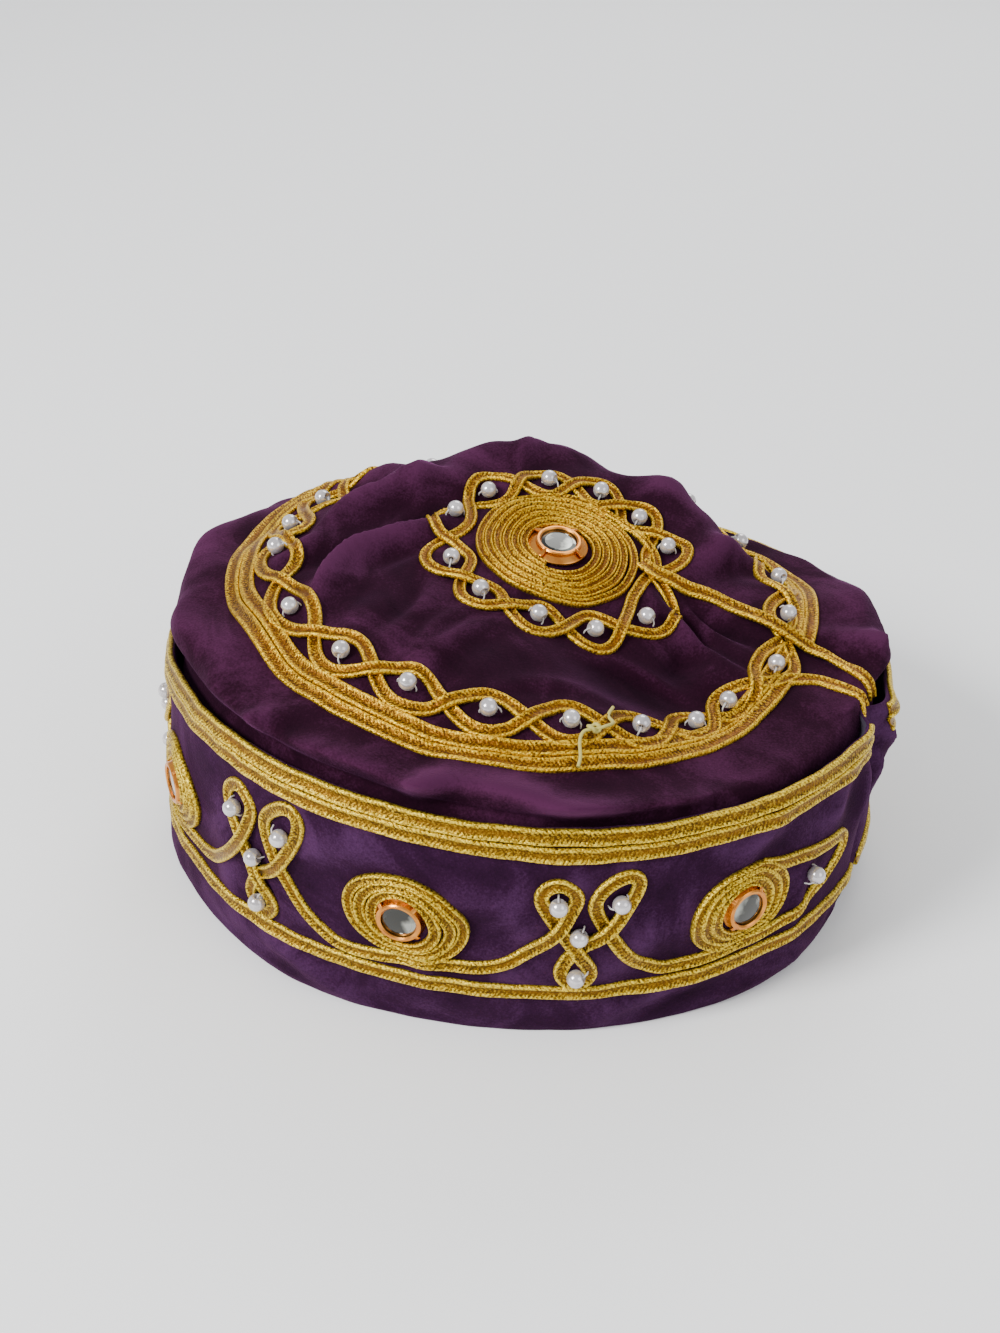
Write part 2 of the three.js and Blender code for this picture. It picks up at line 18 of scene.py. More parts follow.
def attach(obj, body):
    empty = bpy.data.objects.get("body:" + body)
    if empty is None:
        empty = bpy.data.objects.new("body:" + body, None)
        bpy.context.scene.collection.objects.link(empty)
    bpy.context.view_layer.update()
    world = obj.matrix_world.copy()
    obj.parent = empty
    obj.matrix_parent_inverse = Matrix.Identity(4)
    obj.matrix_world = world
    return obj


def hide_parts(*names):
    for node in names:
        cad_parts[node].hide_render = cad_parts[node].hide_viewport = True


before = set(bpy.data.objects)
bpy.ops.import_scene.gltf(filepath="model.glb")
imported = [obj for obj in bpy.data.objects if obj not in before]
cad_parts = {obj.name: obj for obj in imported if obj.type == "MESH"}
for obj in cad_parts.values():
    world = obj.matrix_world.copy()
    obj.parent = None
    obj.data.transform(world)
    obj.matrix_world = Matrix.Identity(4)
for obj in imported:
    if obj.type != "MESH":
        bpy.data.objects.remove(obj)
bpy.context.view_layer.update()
MM = 0.001
TURN = 2 * math.pi
chance = random.Random(11)

# %% [markdown]
# ## Helpers for picking and editing
# Blender's operators act on whatever is selected, so each step first makes one object the only
# selected one. Modifiers are applied in order, and the finished mesh keeps its place in its vertices.

# %% Pick, edit and apply
def pick(piece):
    if bpy.context.mode != "OBJECT":
        bpy.ops.object.mode_set(mode="OBJECT")
    bpy.ops.object.select_all(action="DESELECT")
    bpy.context.view_layer.objects.active = piece
    piece.select_set(True)


def edit_all(piece):
    pick(piece)
    bpy.ops.object.mode_set(mode="EDIT")
    bpy.ops.mesh.select_all(action="SELECT")


def leave_edit():
    bpy.ops.object.mode_set(mode="OBJECT")


def modify(piece, kind, **settings):
    pick(piece)
    modifier = piece.modifiers.new(kind.lower(), kind)
    for name, value in settings.items():
        setattr(modifier, name, value)
    bpy.ops.object.modifier_apply(modifier=modifier.name)


def corners_of(piece):
    flat = np.empty(len(piece.data.vertices) * 3)
    piece.data.vertices.foreach_get("co", flat)
    return flat.reshape(-1, 3)


def move_corners(piece, places):
    piece.data.vertices.foreach_set("co", np.asarray(places, float).ravel())
    piece.data.update()


def link_new(name, data):
    thing = bpy.data.objects.new(name, data)
    bpy.context.scene.collection.objects.link(thing)
    return thing


def finish_piece(piece, material, slot, *stands_for):
    pick(piece)
    bpy.ops.object.transform_apply(location=True, rotation=True, scale=True)
    bpy.ops.object.shade_smooth()
    if material:
        piece.data.materials.clear()
        piece.data.materials.append(material)
    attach(piece, "root")
    if stands_for:
        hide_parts(*stands_for)

# %% [markdown]
# ## Helpers for materials
# Colours are picked as the hex values that a screen shows, and a shader works in linear light, so
# one function converts them. Another adds a node, sets it and links it in one line, and a few short
# ones name what the nodes are used for: noise, sums, a blend of two colours, a ramp, relief.

# %% Colours and nodes
def linear(code):
    parts = [int(code[i:i + 2], 16) / 255 for i in (1, 3, 5)]
    return tuple(c / 12.92 if c <= 0.04045 else ((c + 0.055) / 1.055) ** 2.4 for c in parts) + (1.0,)


def set_inputs(tree, node, values):
    for name, value in values.items():
        if isinstance(value, bpy.types.NodeSocket):
            tree.links.new(value, node.inputs[name])
        else:
            node.inputs[name].default_value = value


def add_node(tree, kind, inputs=None, **settings):
    node = tree.nodes.new(kind)
    for name, value in settings.items():
        setattr(node, name, value)
    set_inputs(tree, node, inputs or {})
    return node


def maths(tree, operation, *values):
    return add_node(tree, "ShaderNodeMath", dict(enumerate(values)), operation=operation).outputs["Value"]


def noise(tree, size, detail, **inputs):
    """Noise in patches of about so many millimetres, fixed to the object."""
    place = add_node(tree, "ShaderNodeTexCoord")
    return add_node(tree, "ShaderNodeTexNoise", {
        "Vector": place.outputs["Object"], "Scale": 1 / (size * MM), "Detail": detail,
        **inputs}).outputs["Fac"]


def remap(tree, value, low, high, to_low=0.0, to_high=1.0):
    return add_node(tree, "ShaderNodeMapRange", {
        "Value": value, "From Min": low, "From Max": high, "To Min": to_low,
        "To Max": to_high}).outputs["Result"]


def blend(tree, factor, first, second):
    return add_node(tree, "ShaderNodeMix", {"Factor": factor, 6: first, 7: second},
                    data_type="RGBA").outputs[2]


def three_colours(tree, level, low, middle, high):
    """A ramp through three colours, each given as its place on the ramp and its hex value."""
    ramp = add_node(tree, "ShaderNodeValToRGB", {"Fac": level})
    first, last = ramp.color_ramp.elements
    first.position, first.color = low[0], linear(low[1])
    last.position, last.color = high[0], linear(high[1])
    ramp.color_ramp.elements.new(middle[0]).color = linear(middle[1])
    return ramp.outputs["Color"]


def relief(tree, height, strength, depth):
    """A normal for the shader, as if the height stood out by so many millimetres."""
    return add_node(tree, "ShaderNodeBump", {
        "Height": height, "Strength": strength, "Distance": depth * MM}).outputs["Normal"]


def new_material(name):
    material = bpy.data.materials.new(name)
    material.use_nodes = True
    tree = material.node_tree
    return material, tree, tree.nodes["Principled BSDF"]


def matt_material(name, code, roughness):
    material, tree, shader = new_material(name)
    set_inputs(tree, shader, {"Base Color": linear(code), "Roughness": roughness})
    return material

# %% [markdown]
# ## Cotton velvet
# Velvet is a dense pile of short upright threads. Seen straight on it swallows light, and at a
# slant the thread sides glow, which is the sheen. Where the pile has been brushed it leans another
# way and looks lighter or darker, in patches of a few centimetres. Along the ridges of folds its
# colour is painted paler, partly rubbed pile and partly painted sheen, and in the valleys beside them
# darker, as painted shade: the cloth carries an attribute, "fold", that says how far each spot is
# raised. The pile grain itself is about 0.3 mm; it is drawn at 0.6 mm so that it shows in the render.

# %% Velvet material
def velvet_material(name, deep_and_shade, plain, brushed_and_sheen):
    material, tree, shader = new_material(name)
    patches = noise(tree, 24, 8.0, Roughness=0.6, Distortion=1.2)
    grain = noise(tree, 0.6, 2.0, Roughness=0.7)
    fold = add_node(tree, "ShaderNodeAttribute", attribute_name="fold").outputs["Fac"]
    # The fold attribute adds painted sheen, paler on fold ridges, and painted shade, darker in the valleys
    # beside them, to the nap patches.
    tone_and_painted_light = maths(tree, "MULTIPLY_ADD", fold, 0.3, patches)
    level = maths(tree, "MULTIPLY_ADD", grain, 0.4, tone_and_painted_light)
    set_inputs(tree, shader, {
        "Base Color": three_colours(tree, level, (0.42, deep_and_shade), (0.68, plain), (1.0, brushed_and_sheen)),
        "Normal": relief(tree, grain, 0.5, 0.3),
        "Roughness": 0.95, "Specular IOR Level": 0.06,
        "Sheen Weight": 0.3, "Sheen Roughness": 0.35, "Sheen Tint": linear("#985890")})
    return material


# The dark colour is reached in fold valleys as painted shade and the light one on fold ridges as painted
# sheen; the nap patches use both too.
crown_velvet = velvet_material("aubergine_cotton_velvet", "#14030e", "#220819", "#451e3b")
band_velvet = velvet_material("violet_cotton_velvet", "#170616", "#280f28", "#462749")
print("velvets", crown_velvet.name, band_velvet.name)

# %% [markdown]
# The inside is a plain woven lining: matt dark cotton with a fine square weave. Its threads are
# about 0.4 mm apart and are drawn at 0.8 mm.

# %% Lining material
def lining_material():
    material, tree, shader = new_material("plain_woven_cotton_lining")
    place = add_node(tree, "ShaderNodeTexCoord")
    weave = add_node(tree, "ShaderNodeTexWave", {
        "Vector": place.outputs["Object"], "Scale": 1 / (0.8 * MM) / 20 * math.pi, "Distortion": 2.0,
        "Detail": 2.0, "Detail Scale": 3.0}, bands_direction="Z")
    set_inputs(tree, shader, {
        "Base Color": blend(tree, noise(tree, 30, 3.0), linear("#2a2230"), linear("#3d3344")),
        "Normal": relief(tree, weave.outputs["Fac"], 0.4, 0.15), "Roughness": 0.85})
    return material


lining = lining_material()
print("lining", lining.name)

# %% [markdown]
# ## Gold soutache
# Soutache is a flat braid: metal-wrapped thread is plaited herringbone-wise over two cords, so it
# has a ridge along each edge and a broad groove between them. The colour is painted lighter on the
# ridges, as painted highlight, and darker in the groove and between the threads, as painted shade; in
# patches the groove also turns orange-brown, partly a tone of the thread and partly painted shade.
# The threads are crinkled: specks of about half a millimetre are set into the relief and painted into
# the colour as glints. The braid's own UV map carries the plait: U runs along it in millimetres and V
# across it, from 0 to 1.

# %% Soutache material
PLAIT = 1.0  # mm from one thread to the next along a ridge


def soutache_material(name, gap_shade, body, light, tone_and_painted_light):
    material, tree, shader = new_material(name)
    uv = add_node(tree, "ShaderNodeUVMap", uv_map="braid")
    split = add_node(tree, "ShaderNodeSeparateXYZ", {"Vector": uv.outputs["UV"]})
    aside = maths(tree, "ABSOLUTE", maths(tree, "SUBTRACT", split.outputs["Y"], 0.5))
    along = maths(tree, "MULTIPLY", split.outputs["X"], 1 / PLAIT)
    wave = maths(tree, "SINE", maths(tree, "MULTIPLY", maths(tree, "MULTIPLY_ADD", aside, 3.0, along), TURN))
    # Specks of glint, set into the relief and painted into the colour as painted glints.
    glitter = remap(tree, noise(tree, 0.6, 2.0, Roughness=0.75), 0.32, 0.68)
    plait = maths(tree, "MULTIPLY_ADD", wave, 0.14, glitter)
    # Painted highlight and shade: the level is raised on the ridges and lowered in the groove.
    level = maths(tree, "ADD", plait, remap(tree, aside, 0.16, 0.34, -0.28, 0.16))
    # The ramp runs from painted shade in the gaps, through the gold, to painted highlight.
    plait_with_painted_light = three_colours(tree, level, (0.05, gap_shade), (0.42, body), (0.95, light))
    # In patches the groove is mixed towards a darker orange-brown: partly the thread's tone, partly painted
    # shade.
    trough = remap(tree, aside, 0.1, 0.25, 0.85, 0.0)
    worn = remap(tree, noise(tree, 14, 3.0, Distortion=0.8), 0.35, 0.72, 0.25, 1.0)
    set_inputs(tree, shader, {
        "Base Color": blend(tree, maths(tree, "MULTIPLY", trough, worn), plait_with_painted_light, linear(tone_and_painted_light)),
        "Normal": relief(tree, level, 0.8, 0.16), "Metallic": 0.85, "Roughness": 0.38})
    return material


# Colours: painted shade for the gaps, the gold, painted highlight for the ridges, and the groove's
# orange-brown, partly painted shade.
crown_gold = soutache_material("warm_gold_soutache", "#3c2602", "#a87406", "#f4cc30", "#7c4604")
band_gold = soutache_material("green_gold_soutache", "#3a2a02", "#a07a0a", "#f4d644", "#7e5206")
print("soutaches", crown_gold.name, band_gold.name)

# %% [markdown]
# ## The crown's cloth
# The CAD crown has the true soft form in coarse facets. A copy of it is merged and its triangles
# are paired into quads, so that Subdivision Surface can round it like stretched cloth.

# %% Round a copy of a CAD cloth
CLOTH_LEVELS = 3


def cloth_from(node, name):
    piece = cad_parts[node].copy()
    piece.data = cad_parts[node].data.copy()
    piece.name = piece.data.name = name
    for key in [k for k in piece.keys() if k.startswith("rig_")]:
        del piece[key]
    piece.parent = None
    bpy.context.scene.collection.objects.link(piece)
    edit_all(piece)
    bpy.ops.mesh.remove_doubles(threshold=0.01 * MM)
    bpy.ops.mesh.tris_convert_to_quads(face_threshold=math.radians(60), shape_threshold=math.radians(80))
    leave_edit()
    quads = sum(len(p.vertices) == 4 for p in piece.data.polygons)
    modify(piece, "SUBSURF", levels=CLOTH_LEVELS, render_levels=CLOTH_LEVELS)
    print(name, "quads", quads, "other", len(piece.data.polygons) - quads, "now", len(piece.data.vertices))
    return piece


crown = cloth_from("crown", "crown_cloth")

# %% [markdown]
# Creases are what makes it cloth. Each row of the table is one soft ridge or dent that was read off
# the photograph: where its middle lies in plan, which way it runs, how long and wide it is, and how
# far it rises. A ridge has a shallow valley on one side, as a pushed-up fold has. Other values change
# slowly round the cap: eight numbers give them, for eight directions.

# %% Soft steps and bells, tables of eight directions, and the height of the band's edge
BAND_HIGH = 64.0
LOWER_RISE = 15.0  # mm from the hem to the low row of braid
DIP_TURN, DIP_WIDE, DIP_SHARE = 86, 13, 0.065  # where the band sinks, and how far
band_tops = [0.965, 0.94, 0.92, 0.87, 0.87, 0.87, 0.955, 1.03]  # front, then on by the wearer's left


def glide(a, b, c, d, t):
    """A smooth way from b to c, as t goes from 0 to 1, that heads on from a and to d."""
    return b + 0.5 * t * (c - a + t * (2 * a - 5 * b + 4 * c - d + t * (3 * (b - c) + d - a)))


def around(table, angle):
    """Smooth value between eight numbers that stand for eight directions, for one angle or many."""
    place = np.asarray(angle) / TURN * 8
    first = np.floor(place).astype(int)
    return glide(*(np.array(table)[(first + k) % 8] for k in (-1, 0, 1, 2)), place - first)


def bell(offset, width):
    """1 in the middle, falling softly away to both sides."""
    return np.exp(-((offset / width) ** 2))


def climb(value, start, over):
    """0 up to the start and 1 from so much further on; a negative length falls away instead."""
    return np.clip((value - start) / over, 0, 1)


def seam_dip(angle):
    """Share of its height that the band keeps: it sinks a little just behind the seam."""
    return 1 - DIP_SHARE * bell((np.degrees(angle) - DIP_TURN + 180) % 360 - 180, DIP_WIDE)


def band_top(angle):
    return BAND_HIGH * around(band_tops, angle) * seam_dip(angle)

# %% Crease the crown
# Each row: x and y of its middle, its turn in degrees, then how long, wide and high it is
crown_creases = [
    (-37, 22, 32, 24, 4.5, 2.6), (-13, 40, 38, 13, 4.5, 1.4), (-40, -4, 52, 17, 3.4, 2.0),
    (-30, 10, 41, 9, 2.4, -1.2), (-48, -22, 64, 12, 4.0, 1.1), (-29, -26, 72, 13, 2.6, -1.0),
    (-1, 41, 71, 7, 3.0, 1.4), (-68, -36, -67, 16, 6.5, 1.6), (-59, -62, 27, 8, 3.0, 1.7),
    (-36, -74, -12, 10, 3.6, 1.0), (-20, -79, 35, 8, 3.2, 2.2), (-6, -79, -6, 16, 3.6, 2.6),
    (13, -84, 13, 12, 2.8, 2.2), (-34, -80, -28, 9, 2.6, -1.6), (56, -62, 48, 12, 3.2, 1.2),
    (-20, -42, 58, 16, 3.4, 1.1), (-56, -2, 40, 10, 3.0, 1.2), (38, -77, 34, 9, 3.4, 1.5),
    (42, -13, -42, 10, 2.2, -1.5), (49, -12, -38, 11, 2.2, -1.3), (40, -26, 56, 6, 3.4, -1.6),
    (25, -40, -20, 20, 9.0, -1.3), (50, 14, 35, 12, 4.0, 1.8), (42, 32, -50, 16, 8.0, 2.2),
    (82, -8, -22, 8, 3.8, 2.2), (84, -19, -30, 6, 2.0, -1.4), (83, -33, 41, 8, 3.0, 1.6),
    (80, 10, 75, 12, 5.0, 1.0), (40, 40, 50, 16, 5.0, 1.2), (-33, 14, 48, 12, 2.0, 0.9),
    (-43, -8, 56, 14, 1.9, 0.9), (-27, 25, 70, 8, 1.8, 0.7), (-61, 4, 76, 9, 2.0, 0.7),
    (-22, -36, 62, 12, 2.0, 0.6), (46, -19, -44, 12, 1.8, -0.9), (28, -32, -12, 12, 2.0, 0.6),
    (8, -48, 8, 15, 2.2, 0.6), (52, -36, 52, 10, 2.0, 0.6), (36, -78, 20, 9, 2.0, 0.8),
    (-44, -70, -20, 9, 2.0, 0.8), (15, 50, 10, 16, 5.0, 1.2), (-40, 38, -35, 18, 5.0, 1.5),
    (30, 74, -25, 14, 4.0, 1.8), (-30, 75, 30, 16, 4.0, 2.0), (-78, 20, 75, 16, 4.0, 1.8),
    (-80, -22, 105, 12, 4.0, 1.2),
]
BOW = 0.012  # how far a crease's line is bent, per millimetre squared
VALLEY = 0.45  # depth of the valley beside a ridge, as a share of its rise
VALLEY_OFF = 1.7  # its distance, in widths of the ridge


def crease(places, rows):
    total = np.zeros(len(places))
    for x, y, turned_by, long, wide, rise in rows:
        angle = math.radians(turned_by)
        dx, dy = places[:, 0] - x, places[:, 1] - y
        along = dx * math.cos(angle) + dy * math.sin(angle)
        across = dy * math.cos(angle) - dx * math.sin(angle)
        across = across + BOW * along ** 2 * math.copysign(1, rise)
        ridge = bell(across, wide) - VALLEY * bell(across + VALLEY_OFF * wide, wide)
        total += rise * ridge * bell(along, long)
    return total


WAVES = 14  # crossed waves in one ripple


def ripple(places, size, depth, seed):
    """Low random swell, the same on every run: a few crossed waves of about one size."""
    waves = random.Random(seed)
    total = np.zeros(len(places))
    for _ in range(WAVES):
        direction = Vector((waves.gauss(0, 1), waves.gauss(0, 1), waves.gauss(0, 1))).normalized()
        length = size * waves.uniform(0.7, 1.8)
        total += np.sin(places @ np.array(direction) * 2 * math.pi / length + waves.uniform(0, 6.3))
    return depth * total / math.sqrt(WAVES)


CREASE_GAIN = 2.2  # the table's rises are drawn larger by this
FOLD_TALL = 2.2  # mm of rise that the velvet takes as a full ridge
shoulder = [2.6, 3.2, 5.6, 4.4, 4.0, 4.0, 3.6, 3.4]  # mm that it hangs out, in eight directions
back_drop = [0, 0, 0.2, 4.4, 4.0, 0.6, 0, 0]  # mm that its outer part is lower at the back
back_raise = [0, 0, 0, 0, 0, 3.8, 0.8, 0]  # mm that its edge is higher at the back left

places = corners_of(crown) / MM
middle = np.array([0, 0, 5.0])
outwards = (places - middle) / np.linalg.norm(places - middle, axis=1)[:, None]
reach = np.hypot(places[:, 0], places[:, 1])
turn = np.arctan2(places[:, 0], -places[:, 1])
over_edge = places[:, 2] - band_top(turn)
free = np.maximum(climb(over_edge, -1, 3), climb(reach, 82, -4))
free *= climb(reach, 90, -5) * climb(places[:, 2], 44, 8)
folds = crease(places, crown_creases)
swell = CREASE_GAIN * folds + ripple(places, 26, 0.6, 3) + ripple(places, 10, 0.2, 4)
moved = outwards * (swell * free)[:, None]

# The shoulder is fuller than its seam, so that it hangs over the band's edge
hang = climb(over_edge, 0.2, 2) ** 0.6 * bell(np.clip(over_edge - 6, 0, None), 5)
hang *= climb(reach, 74, 9) * around(shoulder, turn)
hang *= 1 + 0.1 * np.sin(7 * turn + 0.6) + 0.05 * np.sin(15 * turn)
hang *= 1 - 0.8 * bell(np.degrees(turn) - 71, 8)
radial = np.column_stack([np.sin(turn), -np.cos(turn), 0.45 + 0 * turn])
moved += radial * hang[:, None]
moved[:, 2] -= climb(reach, 48, 10) * free * around(back_drop, turn)
moved[:, 2] += climb(reach, 63, 8) * free * around(back_raise, turn)
move_corners(crown, (places + moved) * MM)


def store_fold(piece, values):
    """Keeps how far each corner is raised, for the velvet's painted sheen on ridges and painted shade in
    valleys.
    """
    layer = piece.data.attributes.new("fold", "FLOAT", "POINT")
    layer.data.foreach_set("value", np.clip(values, -1, 1).astype(np.float32))


store_fold(crown, folds * free / FOLD_TALL)
print("crown creased by up to", round(float(np.abs(swell * free).max()), 1), "mm, hangs over by",
      round(float(hang.max()), 1))

# %% [markdown]
# The band is stiffened cloth: it stands by itself and creases little. It puffs softly between the
# rows of braid, and it is drawn in along the seam at the wearer's left. Its creases are listed as
# the crown's are, on the wall unrolled: x is the length round it from the front, y the height.

# %% Round and pucker the band
SEAM_TURN = 79.0
SEAM = math.radians(SEAM_TURN)
BAND_SEAM = math.radians(66.0)
BAND_RADIUS = 94.0  # mm, for lengths round the cloth
BAND_FOLD_TALL = 1.6  # as FOLD_TALL, for stiffer cloth

band = cloth_from("band", "band_cloth")
places = corners_of(band) / MM
turn = np.arctan2(places[:, 0], -places[:, 1])
places[:, 2] *= seam_dip(turn)
places[:, 2] -= places[:, 2].min() * np.clip(1 - places[:, 2] / 20, 0, 1)  # the hem stands on the floor
height = places[:, 2]
past_seam = (turn - BAND_SEAM) * BAND_RADIUS
above = climb(height, LOWER_RISE, 40)
pull = -(1.0 + 2.6 * above) * bell(past_seam - 3 * above, 2.0 + 2.0 * above)
pull += 2.4 * above * bell(past_seam - 13, 5.5) * bell(height - 46, 9)
pull += 1.0 * above * bell(past_seam + 7, 4.0)
pull += 1.2 * above * bell(past_seam - 42, 18.0)
band_creases = [
    (-20, 30, 70, 14, 3.6, 0.9), (14, 47, -64, 10, 3.0, 0.8), (38, 12, 12, 22, 3.0, 0.9),
    (-58, 10, -14, 18, 3.4, 1.1), (74, 26, 84, 12, 3.0, 0.9), (117, 50, -42, 8, 2.0, 1.5),
    (114, 44, -66, 9, 2.0, 1.3), (120, 55, -10, 8, 1.8, 1.2), (103, 42, 58, 9, 2.4, 1.0),
    (30, 28, 24, 16, 5.0, 0.9), (88, 46, 62, 14, 4.0, 0.9), (-8, 40, -12, 18, 5.0, 0.7),
    (-44, 48, 18, 20, 4.5, 0.8), (60, 50, 35, 14, 4.0, 0.7), (-80, 30, 80, 14, 5.0, 0.8),
]
unrolled = np.column_stack([turn * BAND_RADIUS, height])
band_folds = crease(unrolled, band_creases)
pull += 1.3 * band_folds + ripple(places, 30, 0.4, 7) + ripple(places, 10, 0.14, 8)
pull += 0.8 * np.sin(turn * 9 + 1) * bell(height, 9)
radial = np.column_stack([np.sin(turn), -np.cos(turn), 0 * turn])
move_corners(band, (places + radial * (pull * np.clip(height / 3, 0.35, 1))[:, None]) * MM)
store_fold(band, band_folds / BAND_FOLD_TALL)
print("band moved by up to", round(float(np.abs(pull).max()), 1), "mm")

# %% [markdown]
# Both cloths have two sides. The faces that look inwards, or down into the hollow, take the lining.

# %% Velvet outside, lining inside
def two_sided(piece, velvet, stands_for):
    finish_piece(piece, velvet, "velvet", stands_for)
    piece.data.materials.append(lining)
    count = 0
    for face in piece.data.polygons:
        away = Vector((face.center.x, face.center.y, 0.0)).normalized()
        outwards, upwards = face.normal.dot(away), face.normal.z
        inside = (outwards < -0.3 and upwards < 0.25) or (upwards < -0.2 and outwards < 0.35)
        face.material_index = int(inside)
        count += inside
    print(piece.name, "lining faces", count)


two_sided(crown, crown_velvet, "crown")
two_sided(band, band_velvet, "band")

# %% [markdown]
# ## Laying trim on the cloth
# Trim is drawn flat and then laid on. On the crown the flat drawing is the plan seen from above,
# and a ray dropped from above finds the cloth. On the band it is the wall unrolled, length round the
# wall by height, and the ray comes from outside.

# %% Find the cloth under a flat point
cloth_net = {
    piece.name: BVHTree.FromObject(piece, bpy.context.evaluated_depsgraph_get()) for piece in (crown, band)
}
WALL = 95.5  # mm, radius on which the band is unrolled
RAY_TOP, RAY_DOWN = 200, 0.3  # mm, height that a ray is dropped from, and metres that it reaches
RAY_OUT, RAY_IN = 130, 0.06  # mm, radius that a ray comes in from, and metres that it reaches
NEAR = 1.5  # mm to the neighbours that give the cloth's slope


def on_crown(x, y):
    hit = cloth_net["crown_cloth"].ray_cast(Vector((x, y, RAY_TOP)) * MM, Vector((0, 0, -1)), RAY_DOWN)[0]
    return None if hit is None else hit / MM


def on_band(x, y):
    away = Vector((math.sin(x / WALL), -math.cos(x / WALL), 0))
    hit = cloth_net["band_cloth"].ray_cast((away * RAY_OUT + Vector((0, 0, y))) * MM, -away, RAY_IN)[0]
    return None if hit is None else hit / MM


def lay_down(points, chart):
    """Places on the cloth and outward directions, for flat points; a miss takes its neighbour's."""
    spots, ups = [], []
    for x, y in points:
        here = chart(x, y)
        near = [chart(x + dx, y + dy) for dx, dy in ((NEAR, 0), (-NEAR, 0), (0, NEAR), (0, -NEAR))]
        if here is None:
            spots.append(spots[-1])
            ups.append(ups[-1])
            continue
        near = [here if n is None else n for n in near]
        up = (near[0] - near[1]).cross(near[2] - near[3])
        spots.append(here)
        ups.append(up.normalized() if up.length > 1e-6 else ups[-1])
    return np.array(spots, float), np.array(ups, float)

# %% [markdown]
# A line is drawn through a few given points by a smooth curve, then spaced evenly. The third
# number of a point is how far the braid is lifted there, where it crosses over another.

# %% Smooth, evenly spaced lines
def curve_through(rows, fine=14):
    rows = np.array(rows, float)
    rows = np.vstack([2 * rows[0] - rows[1], rows, 2 * rows[-1] - rows[-2]])
    made = []
    for a, b, c, d in zip(rows, rows[1:], rows[2:], rows[3:]):
        for t in np.arange(fine) / fine:
            made.append(glide(a, b, c, d, t))
    return np.array(made + [rows[-2]])


def run_along(spots):
    """Length from the start, at each point of a line."""
    return np.concatenate([[0], np.cumsum(np.linalg.norm(np.diff(spots, axis=0), axis=1))])


def spaced(rows, chart, step):
    lengths = run_along(lay_down(rows[:, :2], chart)[0])
    marks = np.linspace(0, lengths[-1], max(int(lengths[-1] / step), 4) + 1)
    return np.column_stack([np.interp(marks, lengths, column) for column in rows.T])


def calmed(values, reach):
    """Running mean along a line, over so many neighbours on each side."""
    stacked = np.concatenate([np.repeat(values[:1], reach, 0), values, np.repeat(values[-1:], reach, 0)])
    total = np.cumsum(np.concatenate([stacked[:1] * 0, stacked]), axis=0)
    return (total[2 * reach + 1:] - total[:-(2 * reach + 1)]) / (2 * reach + 1)

# %% [markdown]
# ## One soutache braid
# The braid's section has a ridge at each edge and a groove between. A grid primitive gives the skin:
# its rows follow the line, its columns take the section, the two long edges are merged and the ends
# are filled. The UV map is written at the same time, in millimetres along and in shares across. A
# line's third number is its lift, and a fourth, where there is one, its width.

# %% Sweep a soutache along a line
SECTION = [(-0.5, 0.0), (-0.5, 0.5), (-0.44, 0.88), (-0.34, 1.0), (-0.2, 0.66), (0.0, 0.46),
           (0.2, 0.66), (0.34, 1.0), (0.44, 0.88), (0.5, 0.5), (0.5, 0.0)]
BRAID_WIDTH = 3.5
ROW_WIDTH = 4.0  # the rows are flattened where they are sewn down
BRAID_HIGH = 1.3
SUNK = 0.2  # mm that the braid's foot is sewn down into the pile


def sideways(spots, ups):
    """Unit directions across a line, and outward ones made square to it."""
    ahead = np.gradient(spots, axis=0)
    ahead /= np.linalg.norm(ahead, axis=1)[:, None] + 1e-9
    aside = np.cross(ups, ahead)
    aside /= np.linalg.norm(aside, axis=1)[:, None] + 1e-9
    return aside, np.cross(ahead, aside)


def write_plait_map(piece, run, columns):
    uv = piece.data.uv_layers.active
    uv.name = "braid"
    share = np.append(np.array(SECTION)[:, 0] + 0.5, 0.0)
    marks = np.empty(len(piece.data.loops) * 2)
    uv.data.foreach_get("uv", marks)
    across, along = np.rint(marks.reshape(-1, 2) * (columns, len(run) - 1)).astype(int).T
    uv.data.foreach_set("uv", np.column_stack([run[along], share[across]]).ravel())


def soutache(name, rows, chart, material, width=BRAID_WIDTH, high=BRAID_HIGH, step=0.8):
    rows = spaced(np.asarray(rows, float), chart, step)
    spots, ups = lay_down(rows[:, :2], chart)
    spots, ups = calmed(spots, 2), calmed(ups, 3)
    aside, ups = sideways(spots, ups)
    spots = spots + ups * (rows[:, 2:3] - SUNK)
    widths = rows[:, 3:4] if rows.shape[1] > 3 else np.full((len(rows), 1), width)
    run = run_along(spots)
    section = np.array(SECTION + SECTION[:1])
    columns = len(section) - 1
    pick(crown)
    bpy.ops.mesh.primitive_grid_add(x_subdivisions=columns, y_subdivisions=len(spots) - 1, size=2)
    piece = bpy.context.object
    piece.name = piece.data.name = name
    flat = corners_of(piece)
    across = np.rint((flat[:, 0] + 1) / 2 * columns).astype(int)
    place = np.rint((flat[:, 1] + 1) / 2 * (len(spots) - 1)).astype(int)
    skin = spots[place] + aside[place] * (section[across, :1] * widths[place])
    skin = skin + ups[place] * (section[across, 1:] * high)
    write_plait_map(piece, run, columns)
    move_corners(piece, skin * MM)
    edit_all(piece)
    bpy.ops.mesh.remove_doubles(threshold=0.001 * MM)
    bpy.ops.mesh.select_all(action="DESELECT")
    bpy.ops.mesh.select_non_manifold(extend=False)
    bpy.ops.mesh.edge_face_add()
    bpy.ops.mesh.select_all(action="SELECT")
    bpy.ops.mesh.normals_make_consistent(inside=False)
    leave_edit()
    piece.data.materials.append(material)
    print(name, round(float(run[-1])), "mm,", len(piece.data.polygons), "faces")
    return piece


